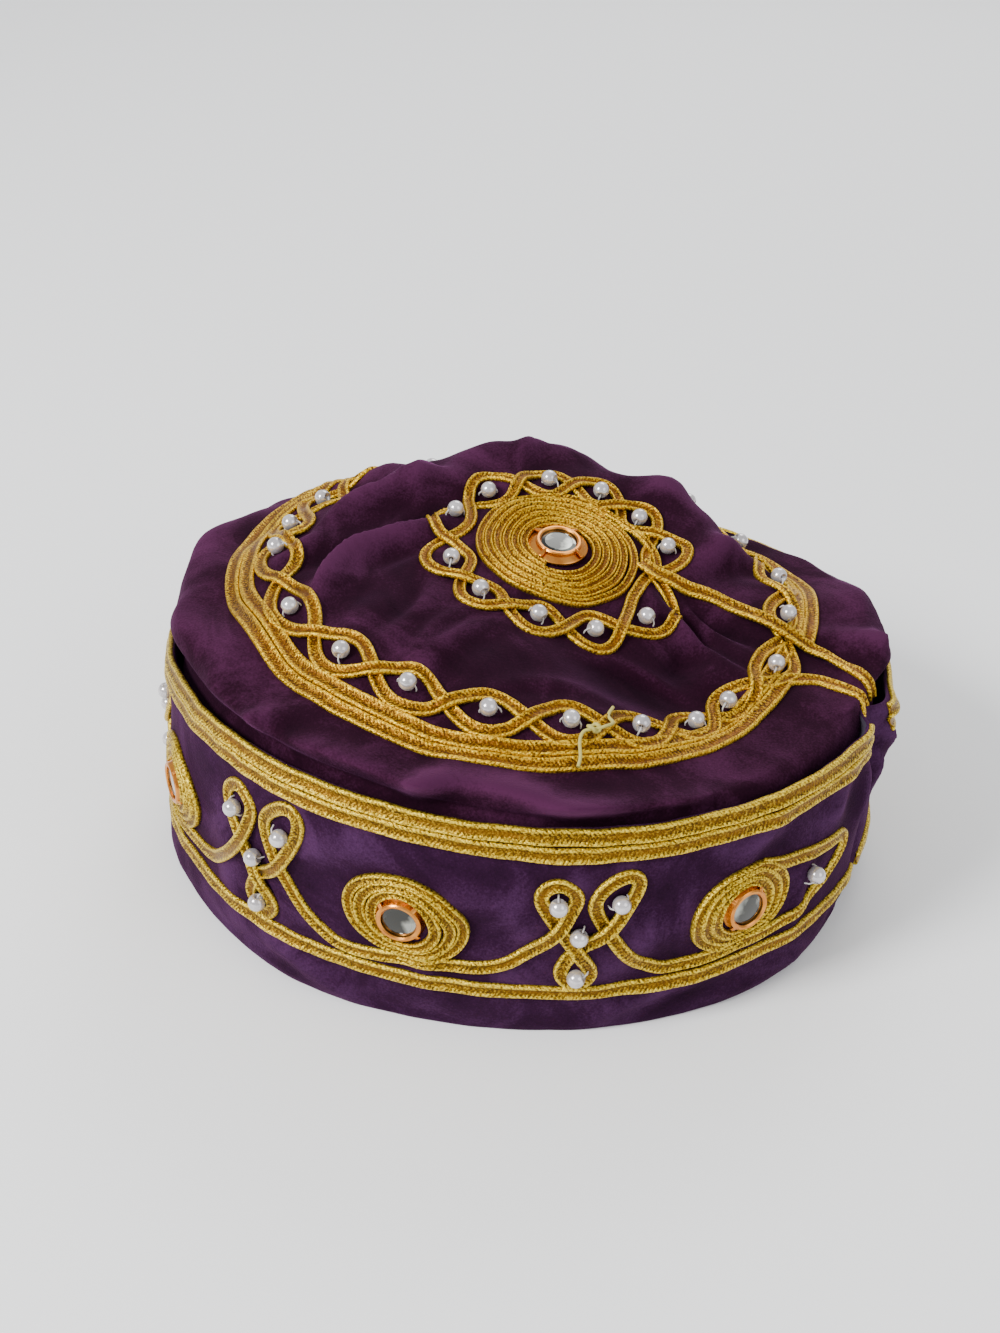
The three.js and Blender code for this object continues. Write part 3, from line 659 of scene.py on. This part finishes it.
def join(pieces, name):
    pick(pieces[0])
    for piece in pieces:
        piece.select_set(True)
    bpy.ops.object.join()
    pieces[0].name = pieces[0].data.name = name
    return pieces[0]

# %% [markdown]
# ## Braid on the crown
# Two rows run round the crown's edge. One table gives the outer edge of this ring, by turn and
# radius, and another the middle of the twist inside it. Distances are measured over the cloth, so a
# helper walks inwards up the slope until the tape reads right.

# %% Walk in from the ring
RING = 76.0
ring_edges = [(68, 72.3), (80, 74), (102, 79.5), (125, 78), (150, 76), (200, 75.6), (360, 75.2), (397, 72.9),
              (414, 71.0), (428, 72.3)]
twist_middle = [(69, 66.7), (84, 66.5), (102, 68), (125, 65), (150, 63.5), (200, 62.6), (335, 62.6),
                (400, 62.6), (412, 62.8), (429, 66.7)]


def polar(radius, angle):
    return radius * math.sin(angle), -radius * math.cos(angle)


def from_table(rows, angle):
    return float(np.interp((math.degrees(angle) - rows[0][0]) % 360 + rows[0][0], *zip(*rows)))


WALK_FROM, WALK_TO = 84, 40  # mm, plan radii that the tape is laid between
walks = {}


def walk_in(angle, radius, distance):
    """Plan radius that lies so many millimetres of cloth inside another."""
    low = math.floor(math.degrees(angle))
    found = []
    for key in (low, low + 1):
        if key % 360 not in walks:
            radii = np.arange(WALK_FROM, WALK_TO, -1.0)
            spots = [on_crown(*polar(r, math.radians(key))) for r in radii]
            steps = [(a - b).length for a, b in zip(spots, spots[1:])]
            walks[key % 360] = (np.concatenate([[0], np.cumsum(steps)]), radii)
        lengths, radii = walks[key % 360]
        start = np.interp(-radius, -radii, lengths)
        found.append(float(np.interp(start + distance, lengths, radii)))
    t = math.degrees(angle) - low
    return found[0] + t * (found[1] - found[0])


def ring_distance(angle, distance):
    return polar(walk_in(angle, from_table(ring_edges, angle), distance), angle)

# %% Two rows round the crown
ROW_PITCH = 4.15  # mm from one row's middle to the next


def ring_row(inside, start, end):
    angles = np.arange(SEAM + start / RING, SEAM + TURN - end / RING, 0.02)
    wander = [0.35 * math.sin(5 * a) + 0.2 * math.sin(11 * a + 1) for a in angles]
    return [ring_distance(a, inside + w) + (0,) for a, w in zip(angles, wander)]


outer_line = ring_row(ROW_WIDTH / 2, 0.5, 15)
outer_line += [(72.5, -25.5, 0), (77.5, -28.0, 0), (82.0, -31.0, 0), (86.5, -34.5, -0.2)]
inner_line = ring_row(ROW_WIDTH / 2 + ROW_PITCH, 0.5, 1)
for node, line in (("crown_border_outer", outer_line), ("crown_border_inner", inner_line)):
    row = soutache(node + "_braid", curve_through(line, fine=2), on_crown, crown_gold, ROW_WIDTH)
    finish_piece(row, None, "gold_braid", node)

# %% [markdown]
# Inside the border two strands twist about each other, over and under in turn, with a pearl in each
# eye. The eyes are uneven, as hand work is; their pearls' turns round the crown were read off.

# %% The twist and the flower
twist_turns = [86, 102.5, 119, 136, 153, 170, 187.5, 205, 223, 241, 257.5, 272, 297.5, 318, 335, 352.5, 369.5,
               385, 400.5, 412, 428]
twist_swings = [4.6] + [5.1] * 17 + [5.0, 4.2, 4.6]  # mm that each eye is wide to either side
CROSS_LIFT = 1.15  # mm that the upper strand rises at a crossing
CROSS_LONG = 3.0  # mm before and after it that the rise takes
STRAND_STEPS = 24  # points from one crossing to the next


def crossings_between(turns, first, last):
    between = [(a + b) / 2 for a, b in zip(turns, turns[1:])]
    return [math.radians(t) for t in (first, *between, last)]


def strand(crossings, which, swings, radius, place):
    rows = []
    for k, (start, end) in enumerate(zip(crossings, crossings[1:])):
        side = 1 if (k + which) % 2 else -1
        for t in np.linspace(0, 1, STRAND_STEPS, endpoint=False):
            angle = start + t * (end - start)
            lift = 0.0
            for j, crossing in ((k, start), (k + 1, end)):
                over = (j + which) % 2 == 0 and 0 < j < len(crossings) - 1
                lift += CROSS_LIFT * over * bell((angle - crossing) * radius, CROSS_LONG)
            rows.append(place(angle, side * swings[k] * math.sin(math.pi * t)) + (lift,))
    return rows + [place(crossings[-1], 0) + (0,)]


def twisted_pair(node, crossings, swings, radius, place, width):
    pair = [soutache(f"{node}_{k}", strand(crossings, k, swings, radius, place), on_crown, crown_gold, width)
            for k in (0, 1)]
    finish_piece(join(pair, node + "_braid"), None, "gold_braid", node)


twist_crossings = crossings_between(twist_turns, SEAM_TURN, SEAM_TURN + 360)


def twist_place(angle, out):
    return polar(walk_in(angle, from_table(twist_middle, angle), -out), angle)


twisted_pair("crown_twist", twist_crossings, twist_swings, 60, twist_place, BRAID_WIDTH)

MEDALLION = (8.0, 3.5)
FLOWER = (9.0, 2.5)  # middle of the ring round it
flower_eyes = [(105, 28.6), (131, 27), (158, 27), (187.5, 26.6), (221, 29.2), (248, 30), (290, 29.8),
               (317, 30), (346.5, 27.2), (377, 26.8), (408, 27.7)]  # turn and radius of each pearl
flower_middle = [(84, 22.8), (95, 26.6), *flower_eyes, (425, 26.8), (444, 22.8)]
flower_swings = [5.8, 5.2, 5.2, 5.2, 5.4, 5.0, 5.8, 5.0, 5.2, 5.2, 5.8]
flower_crossings = crossings_between([t for t, _ in flower_eyes], flower_middle[0][0], flower_middle[-1][0])


def flower_place(angle, out):
    x, y = polar(from_table(flower_middle, angle) + out, angle)
    return FLOWER[0] + x, FLOWER[1] + y


twisted_pair("crown_flower", flower_crossings, flower_swings, 28, flower_place, 3.2)

# %% [markdown]
# The middle is one braid wound inwards in nearly six turns, half on edge, so that its turns are
# narrow. It comes in from the flower's crossing. The seam's braid covers that crossing, runs out over
# the twist and the border, and is tucked into the seam.

# %% The crown's coil and the seam's braid
COIL_TURNS = 5.7
COIL_RADIUS = 20.6
COIL_PITCH = 2.3  # mm from one turn to the next
COIL_BRAID = 2.2  # mm that the tilted braid is wide
coil_line = []
for angle in np.arange(-0.05, COIL_TURNS * TURN, 0.09):
    wound = angle / TURN
    radius = COIL_RADIUS - COIL_PITCH * max(wound - 0.35, 0) + 5.0 * bell(angle, 0.7)
    radius += 0.5 * math.sin(angle + 2.4) * math.exp(-((wound - 0.8) ** 2) * 3)
    x, y = radius * math.cos(angle), 0.95 * radius * math.sin(angle)
    coil_line.append((MEDALLION[0] + x, MEDALLION[1] + y, 0.1, COIL_BRAID))
crown_coil = soutache("crown_coil_braid", coil_line, on_crown, crown_gold, high=1.7, step=0.7)
finish_piece(crown_coil, None, "gold_braid", "crown_coil")

seam_line = [(28.6, 2.6, 0.9), (31.6, 0.4, 1.3), (38, -1.4, 0.6), (47.8, -3.9, 0.1), (54, -6.4, 0.5),
             (60.3, -9.0, 1.5), (65, -10.8, 1.5), (69.9, -12.4, 1.4), (76, -15.4, 1.2), (80, -19.2, 0.3),
             (83.5, -22.8, 0.1), (86.5, -25.6, 0)]
seam_braid = soutache("crown_seam_soutache", curve_through(seam_line), on_crown, crown_gold, width=4.2)
finish_piece(seam_braid, None, "gold_braid", "crown_seam_braid")

# %% [markdown]
# ## Braid on the band
# The band's edge is lower at the back than at the front, and the whole drawing follows it. The rows
# start and end at the band's own seam; its puckered cloth swallows the start of the two upper ones.

# %% Rows round the band
TOP_INSET = 2.6  # mm from the band's edge to the middle of its first row
ROW_END = 1.5  # mm that a row stops short of the seam


def tracked(x, y, *rest):
    return (x, y * float(band_top(x / WALL)) / BAND_HIGH, *rest)


def wall_row(rise, start):
    angles = np.arange(BAND_SEAM + start / WALL, BAND_SEAM + TURN - ROW_END / WALL, 0.02)
    return [(a * WALL, float(rise(a)) + 0.18 * math.sin(7 * a + start), 0) for a in angles]


rows_of_band = {
    "band_top_braid_upper": (9.0, lambda a: band_top(a) - TOP_INSET),
    "band_top_braid_lower": (9.5, lambda a: band_top(a) - TOP_INSET - ROW_PITCH),
    "band_lower_braid": (2.6, lambda a: LOWER_RISE * band_top(a) / BAND_HIGH),
}
for node, (start, rise) in rows_of_band.items():
    row = soutache(node.replace("braid", "soutache"), wall_row(rise, start), on_band, band_gold, ROW_WIDTH)
    finish_piece(row, None, "gold_braid", node)

# %% [markdown]
# The scroll is one braid. It lies along the foot of each coil and makes a motif of three loops
# between each two coils: it crosses itself three times, over and under as the table says. The motif
# was measured on the front of the cap; each copy is bent a little differently.

# %% The scroll's loops
LOOP_FOOT = 19.0
COIL_RISE = 33.4
coils = [
    {"turn": -257, "wide": 15.6, "high": 12.4, "tilt": 5},
    {"turn": -209, "wide": 16.8, "high": 12.0, "tilt": -6},
    {"turn": -161, "wide": 16.0, "high": 12.6, "tilt": 4},
    {"turn": -113, "wide": 16.6, "high": 12.2, "tilt": -5},
    {"turn": -65.5, "wide": 16.0, "high": 12.0, "tilt": -6},
    {"turn": -16.8, "wide": 17.6, "high": 12.4, "tilt": -8},
    {"turn": 34, "wide": 15.6, "high": 12.4, "tilt": 11},
]
motif = [
    (-21.0, 22.4, 0), (-12.0, 27.6, 0), (-4.6, 35.6, 1.2), (-0.7, 44.4, 0), (-2.4, 48.0, 0), (-5.0, 49.0, 0),
    (-7.9, 47.6, 0), (-9.2, 44.4, 0), (-4.6, 35.2, 0), (0.0, 28.6, 1.2), (3.6, 22.4, 0.1), (2.8, 19.4, 0),
    (0.2, 18.0, 0), (-2.6, 19.4, 0), (-3.6, 22.4, 0.1), (0.2, 28.6, 0), (7.0, 34.2, 1.3), (12.6, 43.2, 0),
    (13.8, 49.2, 0), (10.2, 50.4, 0), (5.0, 46.8, 0), (3.4, 42.4, 0), (6.7, 34.6, 0), (12.2, 26.2, 0),
    (18.0, 21.6, 0), (24.0, 19.4, 0),
]
motif_pearls = [(-5.4, 43.7), (9.4, 43.4), (0.2, 33.6), (0.1, 21.4)]
end_loop = [(0.28, -0.93), (0.62, -0.68), (0.88, -0.3), (1.0, 0.08), (0.93, 0.36), (0.68, 0.46),
            (0.34, 0.62), (0.12, 0.78)]  # shares of its reach and of the coil's height
END_REACH = 37.0
END_PEARL = 21
read_bends = {4: (1.07, -0.03), 5: (1.0, 0.0)}  # growth and lean of the two motifs that are seen whole
coil_seats = [tracked(math.radians(coil["turn"]) * WALL, COIL_RISE) for coil in coils]


def foot_of(k):
    return (coil_seats[k][0], coil_seats[k][1] - coils[k]["high"], 0)


def end_loop_rows(k, side):
    x, y = coil_seats[k]
    return [(x + side * a * END_REACH, y + b * coils[k]["high"], 0) for a, b in end_loop]


scroll, band_pearls = end_loop_rows(0, -1)[::-1], []
for k in range(6):
    middle = (coil_seats[k][0] + coil_seats[k + 1][0]) / 2
    scroll.append(foot_of(k))
    guessed = (chance.uniform(0.97, 1.05), chance.uniform(-0.05, 0.05))
    grow, lean = read_bends.get(k, guessed)
    for x, y, *lift in [*motif, *((*p, None) for p in motif_pearls)]:
        x, y = middle + x * grow + lean * (y - LOOP_FOOT), LOOP_FOOT + (y - LOOP_FOOT) * grow
        if lift[0] is None:
            band_pearls.append(tracked(x, y))
        else:
            scroll.append(tracked(x, y, lift[0]))
scroll += [foot_of(6)] + end_loop_rows(6, 1)
for (x, y), side in ((coil_seats[0], -1), (coil_seats[6], 1)):
    band_pearls.append((x + side * END_PEARL, y + 0.8))
scroll_braid = soutache("band_scroll_line", curve_through(scroll), on_band, band_gold)

# %% [markdown]
# Each mirror sits in an oval coil of the same braid, wound in about three turns. The turns are
# wide at the ends of the oval and squeezed above and below the mirror.

# %% The band's coils
BROAD_SIDE, NARROW_SIDE = 2.95, 1.9  # mm, the braid's width at the oval's ends and above the mirror


def band_coil(name, seat_at, shape, way):
    tilt = math.radians(shape["tilt"])
    rows = []
    for angle in np.arange(0, 3.0 * TURN, 0.1):
        wound = angle / TURN
        wide = shape["wide"] - 1.5 - (shape["wide"] - 7.6) / 3.1 * wound
        high = shape["high"] - 1.0 - (shape["high"] - 7.0) / 3.1 * wound
        u = wide * math.sin(angle) * way
        v = -high * math.cos(angle)
        broad = math.hypot(BROAD_SIDE * math.sin(angle), NARROW_SIDE * math.cos(angle))
        rows.append((seat_at[0] + u * math.cos(tilt) - v * math.sin(tilt),
                     seat_at[1] + u * math.sin(tilt) + v * math.cos(tilt), 0.05 + 0.2 * wound, broad))
    return soutache(name, rows, on_band, band_gold, high=1.6, step=0.7)


coil_braids = [band_coil(f"band_coil_{k}", coil_seats[k], coils[k], 1 if k % 2 else -1) for k in range(7)]
scroll_piece = join([scroll_braid, *coil_braids], "band_scroll_soutache")
finish_piece(scroll_piece, None, "gold_braid", "band_scroll")
print("scroll faces", len(scroll_piece.data.polygons))

# %% [markdown]
# ## Mirrors in metal cups
# A sew-on mirror is a round of glass with a bevelled rim, held in a stamped copper-gold cup by four
# bent claws. Copper-gold lacquer is bright orange where it mirrors itself.

# %% Cup and mirror materials
def plated_metal():
    material, tree, shader = new_material("copper_gold_plated_brass")
    wear = noise(tree, 3, 4.0)
    set_inputs(tree, shader, {
        "Base Color": blend(tree, wear, linear("#b4601c"), linear("#e8a450")),
        "Roughness": remap(tree, wear, 0.0, 1.0, 0.16, 0.4), "Metallic": 1.0})
    return material


def mirror_glass():
    material, tree, shader = new_material("silvered_mirror_glass")
    # The glass's colour is painted in dark and pale patches, as painted reflection; the same noise varies its
    # roughness.
    reflection_patches = noise(tree, 7, 3.0)
    set_inputs(tree, shader, {
        "Base Color": blend(tree, remap(tree, reflection_patches, 0.46, 0.6), linear("#1c1c14"), linear("#9c9e94")),
        "Roughness": remap(tree, reflection_patches, 0.0, 1.0, 0.04, 0.12), "Metallic": 0.95,
        "Coat Weight": 1.0, "Coat Roughness": 0.03})
    return material


plated, silvered = plated_metal(), mirror_glass()
print("cup and mirror", plated.name, silvered.name)

# %% Model one cup and one mirror
ROUND_SIDES = 40


def turned(name, profile):
    """A round solid: a circle is extruded from step to step, each with its own radius and height."""
    pick(crown)
    radius, height = profile[0]
    bpy.ops.mesh.primitive_circle_add(vertices=ROUND_SIDES, radius=radius * MM, location=(0, 0, height * MM),
                                      fill_type="NGON")
    piece = bpy.context.object
    piece.name = name
    bpy.ops.object.transform_apply(location=True, rotation=False, scale=False)
    edit_all(piece)
    for next_radius, next_height in profile[1:]:
        step = (0, 0, (next_height - height) * MM)
        bpy.ops.mesh.extrude_region_move(TRANSFORM_OT_translate={"value": step})
        bpy.ops.transform.resize(value=(next_radius / radius,) * 2 + (1,), center_override=(0, 0, 0))
        radius, height = next_radius, next_height
    bpy.ops.mesh.select_all(action="SELECT")
    bpy.ops.mesh.normals_make_consistent(inside=False)
    leave_edit()
    return piece


def model_cup(radius, eye):
    cup = turned("cup_model", [
        (radius, 0), (radius, 0.5), (radius - 0.25, 0.75), (eye + 1.35, 1.35), (eye + 1.25, 2.2),
        (eye + 0.95, 2.5), (eye + 0.45, 2.5), (eye + 0.1, 2.2), (eye, 1.1)])
    claws = []
    for k in range(4):
        pick(cup)
        bpy.ops.mesh.primitive_cube_add(size=1)
        claw = bpy.context.object
        shape = corners_of(claw) * (radius - eye - 0.3, 1.1, 0.8)
        shape[shape[:, 0] > 0, 2] -= 1.0
        shape += ((radius + eye) / 2 + 0.4, 0, 2.25)
        move_corners(claw, shape * MM)
        modify(claw, "BEVEL", width=0.28 * MM, segments=2)
        claw.data.transform(Matrix.Rotation(math.pi / 4 + k * math.pi / 2, 4, "Z"))
        claws.append(claw)
    return join([cup, *claws], "cup_model")


def model_mirror(eye):
    side = eye - 0.08
    return turned("mirror_model", [
        (side, 1.0), (side, 1.75), (side * 0.8, 2.0), (side * 0.78, 1.9), (side * 0.45, 2.0),
        (side * 0.15, 2.03)])


def model_copy(model, name, matrix):
    piece = model.copy()
    piece.data = model.data.copy()
    piece.name = piece.data.name = name
    piece.matrix_world = Matrix.Identity(4)
    bpy.context.scene.collection.objects.link(piece)
    piece.data.transform(matrix)
    return piece


def seat(chart, x, y, lift, spin):
    spots, ups = lay_down([(x, y)], chart)
    up = Vector(ups[0])
    basis = up.to_track_quat("Z", "Y").to_matrix().to_4x4()
    return Matrix.Translation((Vector(spots[0]) + up * lift) * MM) @ basis @ Matrix.Rotation(spin, 4, "Z")

# %% Set the mirrors
CROWN_CUP, BAND_CUP = (7.6, 4.6), (6.0, 4.1)  # mm, radius of the cup and of its eye
CUP_LIFT = 0.2
stones = [("crown", on_crown, *MEDALLION, CROWN_CUP[0])]
stones += [(f"band_{k + 1:02d}", on_band, *coil_seats[k], BAND_CUP[0]) for k in range(7)]
models = {r: (model_cup(r, eye), model_mirror(eye)) for r, eye in (CROWN_CUP, BAND_CUP)}
for name, chart, x, y, radius in stones:
    matrix = seat(chart, x, y, CUP_LIFT, chance.uniform(-0.3, 0.3))
    cup = model_copy(models[radius][0], f"{name}_cup", matrix)
    glass = model_copy(models[radius][1], f"{name}_glass", matrix)
    finish_piece(cup, plated, "setting", f"{name}_setting")
    finish_piece(glass, silvered, "mirror", f"{name}_mirror")
    pick(glass)
    bpy.ops.object.shade_smooth_by_angle(angle=math.radians(12))
    pick(cup)
    bpy.ops.object.shade_smooth_by_angle(angle=math.radians(35))
for model in [m for pair in models.values() for m in pair]:
    bpy.data.objects.remove(model)
print("mirrors", len(stones))

# %% [markdown]
# ## Pearls
# The pearls are drilled glass beads with a silvery lacquer. Each is held by one stitch through its
# hole, which shows as a dark dimple at both ends with a pale thread in it.

# %% Pearl materials
def pearl_lacquer():
    material, tree, shader = new_material("silvery_pearl_lacquer")
    cloud = noise(tree, 2.2, 3.0)
    set_inputs(tree, shader, {
        "Base Color": blend(tree, cloud, linear("#8f888b"), linear("#f0ebec")),
        "Normal": relief(tree, cloud, 0.15, 0.1),
        "Metallic": 0.55, "Roughness": 0.2, "Coat Weight": 0.6, "Coat Roughness": 0.12,
        "Sheen Weight": 0.2})
    return material


def plain_thread(name, code):
    material, tree, shader = new_material(name)
    light = linear(code)
    dark = tuple(0.6 * c for c in light[:3]) + (1.0,)
    set_inputs(tree, shader, {
        "Base Color": blend(tree, noise(tree, 0.4, 2.0), dark, light), "Roughness": 0.6})
    return material


nacre = pearl_lacquer()
bore = matt_material("unlit_bead_bore", "#1d1518", 0.8)
stitch_thread = plain_thread("white_polyester_thread", "#d9d4d2")
loose_thread = plain_thread("yellow_cotton_thread", "#c9bd62")
print("pearl and threads", nacre.name, bore.name, stitch_thread.name, loose_thread.name)

# %% Model one pearl with its stitch
PEARL = 2.15  # mm, its radius
SEWN_IN = 0.1  # mm that it is drawn into the pile


def thread_tube(name, points, radius, roundness):
    """A thin closed tube along a short line of points, in millimetres."""
    curve = bpy.data.curves.new(name, "CURVE")
    curve.dimensions = "3D"
    curve.bevel_depth = radius * MM
    curve.bevel_resolution = roundness
    curve.use_fill_caps = True
    line = curve.splines.new("POLY")
    line.points.add(len(points) - 1)
    for spot, at in zip(line.points, points):
        spot.co = (*(Vector(at) * MM), 1)
    pick(link_new(name, curve))
    bpy.ops.object.convert(target="MESH")
    return bpy.context.object


pick(crown)
bpy.ops.mesh.primitive_uv_sphere_add(segments=20, ring_count=14, radius=PEARL * MM,
                                     rotation=(0, math.pi / 2, 0))
pearl = bpy.context.object
bpy.ops.object.transform_apply(location=False, rotation=True, scale=False)
shape = corners_of(pearl) / MM
rim = np.abs(shape[:, 0]) > PEARL * 0.96
shape[rim, 0] *= 0.4
move_corners(pearl, shape * MM)
pearl.data.materials.append(nacre)
pearl.data.materials.append(bore)
for face in pearl.data.polygons:
    face.material_index = int(all(rim[v] for v in face.vertices))
stitch = thread_tube("thread", [
    (-2.2, 0.1, -2.2), (-2.3, 0.1, -1.3), (-1.9, 0, -0.3), (-1.2, 0, 0), (1.2, 0, 0), (1.9, 0, -0.2),
    (2.5, -0.2, -1.0), (2.6, -0.3, -2.2)], 0.2, 1)
stitch.data.materials.append(stitch_thread)
pearl_model = join([pearl, stitch], "pearl_model")
print("pearl faces", len(pearl_model.data.polygons))

# %% Sew the pearls on
sewn = [("twist", k, on_crown, twist_place(math.radians(t), 0)) for k, t in enumerate(twist_turns)]
sewn += [("flower", k, on_crown, flower_place(math.radians(t), 0)) for k, (t, _) in enumerate(flower_eyes)]
sewn += [("band", k, on_band, at) for k, at in enumerate(band_pearls)]
for group, k, chart, at in sewn:
    spin, lean = chance.uniform(0, TURN), chance.uniform(-0.35, 0.35)
    matrix = seat(chart, *at, PEARL - SEWN_IN, spin) @ Matrix.Rotation(lean, 4, "Y")
    bead = model_copy(pearl_model, f"{group}_bead_{k + 1:02d}", matrix)
    finish_piece(bead, None, "pearl", *([] if group == "band" else [f"{group}_pearl_{k + 1:02d}"]))
bpy.data.objects.remove(pearl_model)
print("pearls", len(sewn))

# %% [markdown]
# A scrap of yellow thread was left knotted round the front of the twist. It is a thin tube laid
# over the braids, with a small knot.

# %% The loose thread
loose_line = [(19.5, -55.0, 2.2), (18.6, -58.0, 1.7), (19.4, -60.4, 2.4), (17.4, -62.6, 3.0),
              (15.4, -63.4, 2.4), (13.0, -64.6, 2.2), (12.2, -67.0, 1.9), (12.4, -70.6, 2.0),
              (12.0, -73.2, 1.7)]
knot_line = [(15.2 + 1.1 * math.cos(a) + 0.3 * math.cos(3 * a), -63.2 + 0.9 * math.sin(a),
              2.5 + 0.5 * math.sin(2 * a)) for a in np.arange(0, 9.5, 0.5)]


def laid_thread(name, rows, radius):
    rows = np.asarray(rows)
    spots, ups = lay_down(rows[:, :2], on_crown)
    return thread_tube(name, [tuple(p) for p in spots + ups * rows[:, 2:3]], radius, 2)


tail = laid_thread("loose_thread_tail", curve_through(loose_line, fine=6), 0.42)
knot = laid_thread("loose_thread_knot", knot_line, 0.45)
scrap = join([tail, knot], "loose_thread")
finish_piece(scrap, loose_thread, "gold_braid")
print("loose thread faces", len(scrap.data.polygons))

# %% [markdown]
# ## Floor, light and camera
# The floor is plain and pale. A bright sky and three soft lamps give even light, stronger from the
# upper left. The camera stands where the photograph was taken from.

# %% Floor and light
pick(crown)
bpy.ops.mesh.primitive_plane_add(size=8)
floor = bpy.context.object
floor.name = "floor"
floor.data.materials.append(matt_material("pale_paper_floor", "#ffffff", 0.9))
LIT = Vector((0, 0, 0.05))  # the lamps point here


def lamp(name, place, size, power):
    light = bpy.data.lights.new(name, "AREA")
    light.shape = "DISK"
    light.size = size
    light.energy = power
    holder = link_new(name, light)
    holder.location = place
    holder.rotation_euler = (LIT - Vector(place)).to_track_quat("-Z", "Y").to_euler()


lamp("key_lamp", (-0.95, -0.65, 0.95), 0.5, 27)
lamp("fill_lamp", (1.0, -0.8, 0.8), 1.0, 5)
lamp("back_lamp", (0.3, 1.2, 1.1), 0.9, 9)
world = bpy.data.worlds.new("studio")
bpy.context.scene.world = world
world.use_nodes = True
sky = world.node_tree.nodes["Background"]
set_inputs(world.node_tree, sky, {"Color": linear("#f3f5f8"), "Strength": 0.88})
print("lamps", len(bpy.data.lights))

# %% Camera
# A 45.9 mm lens on a 36 mm sensor sees the photograph's frame from 457 mm away.
LOOK_AT = Vector((-5.8, 7.0, 41.7)) * MM
rise, roll, away = math.radians(32.05), math.radians(1.85), 457.3 * MM
camera = link_new("camera", bpy.data.cameras.new("camera"))
camera.location = LOOK_AT + away * Vector((0, -math.cos(rise), math.sin(rise)))
tilted = Matrix.Rotation(math.pi / 2 - rise, 3, "X") @ Matrix.Rotation(roll, 3, "Z")
camera.rotation_euler = tilted.to_euler()
camera.data.lens = 45.9
camera.data.sensor_width = 36
camera.data.clip_start, camera.data.clip_end = 0.01, 20
bpy.context.scene.camera = camera
print("camera at", [round(v / MM) for v in camera.location], "mm")
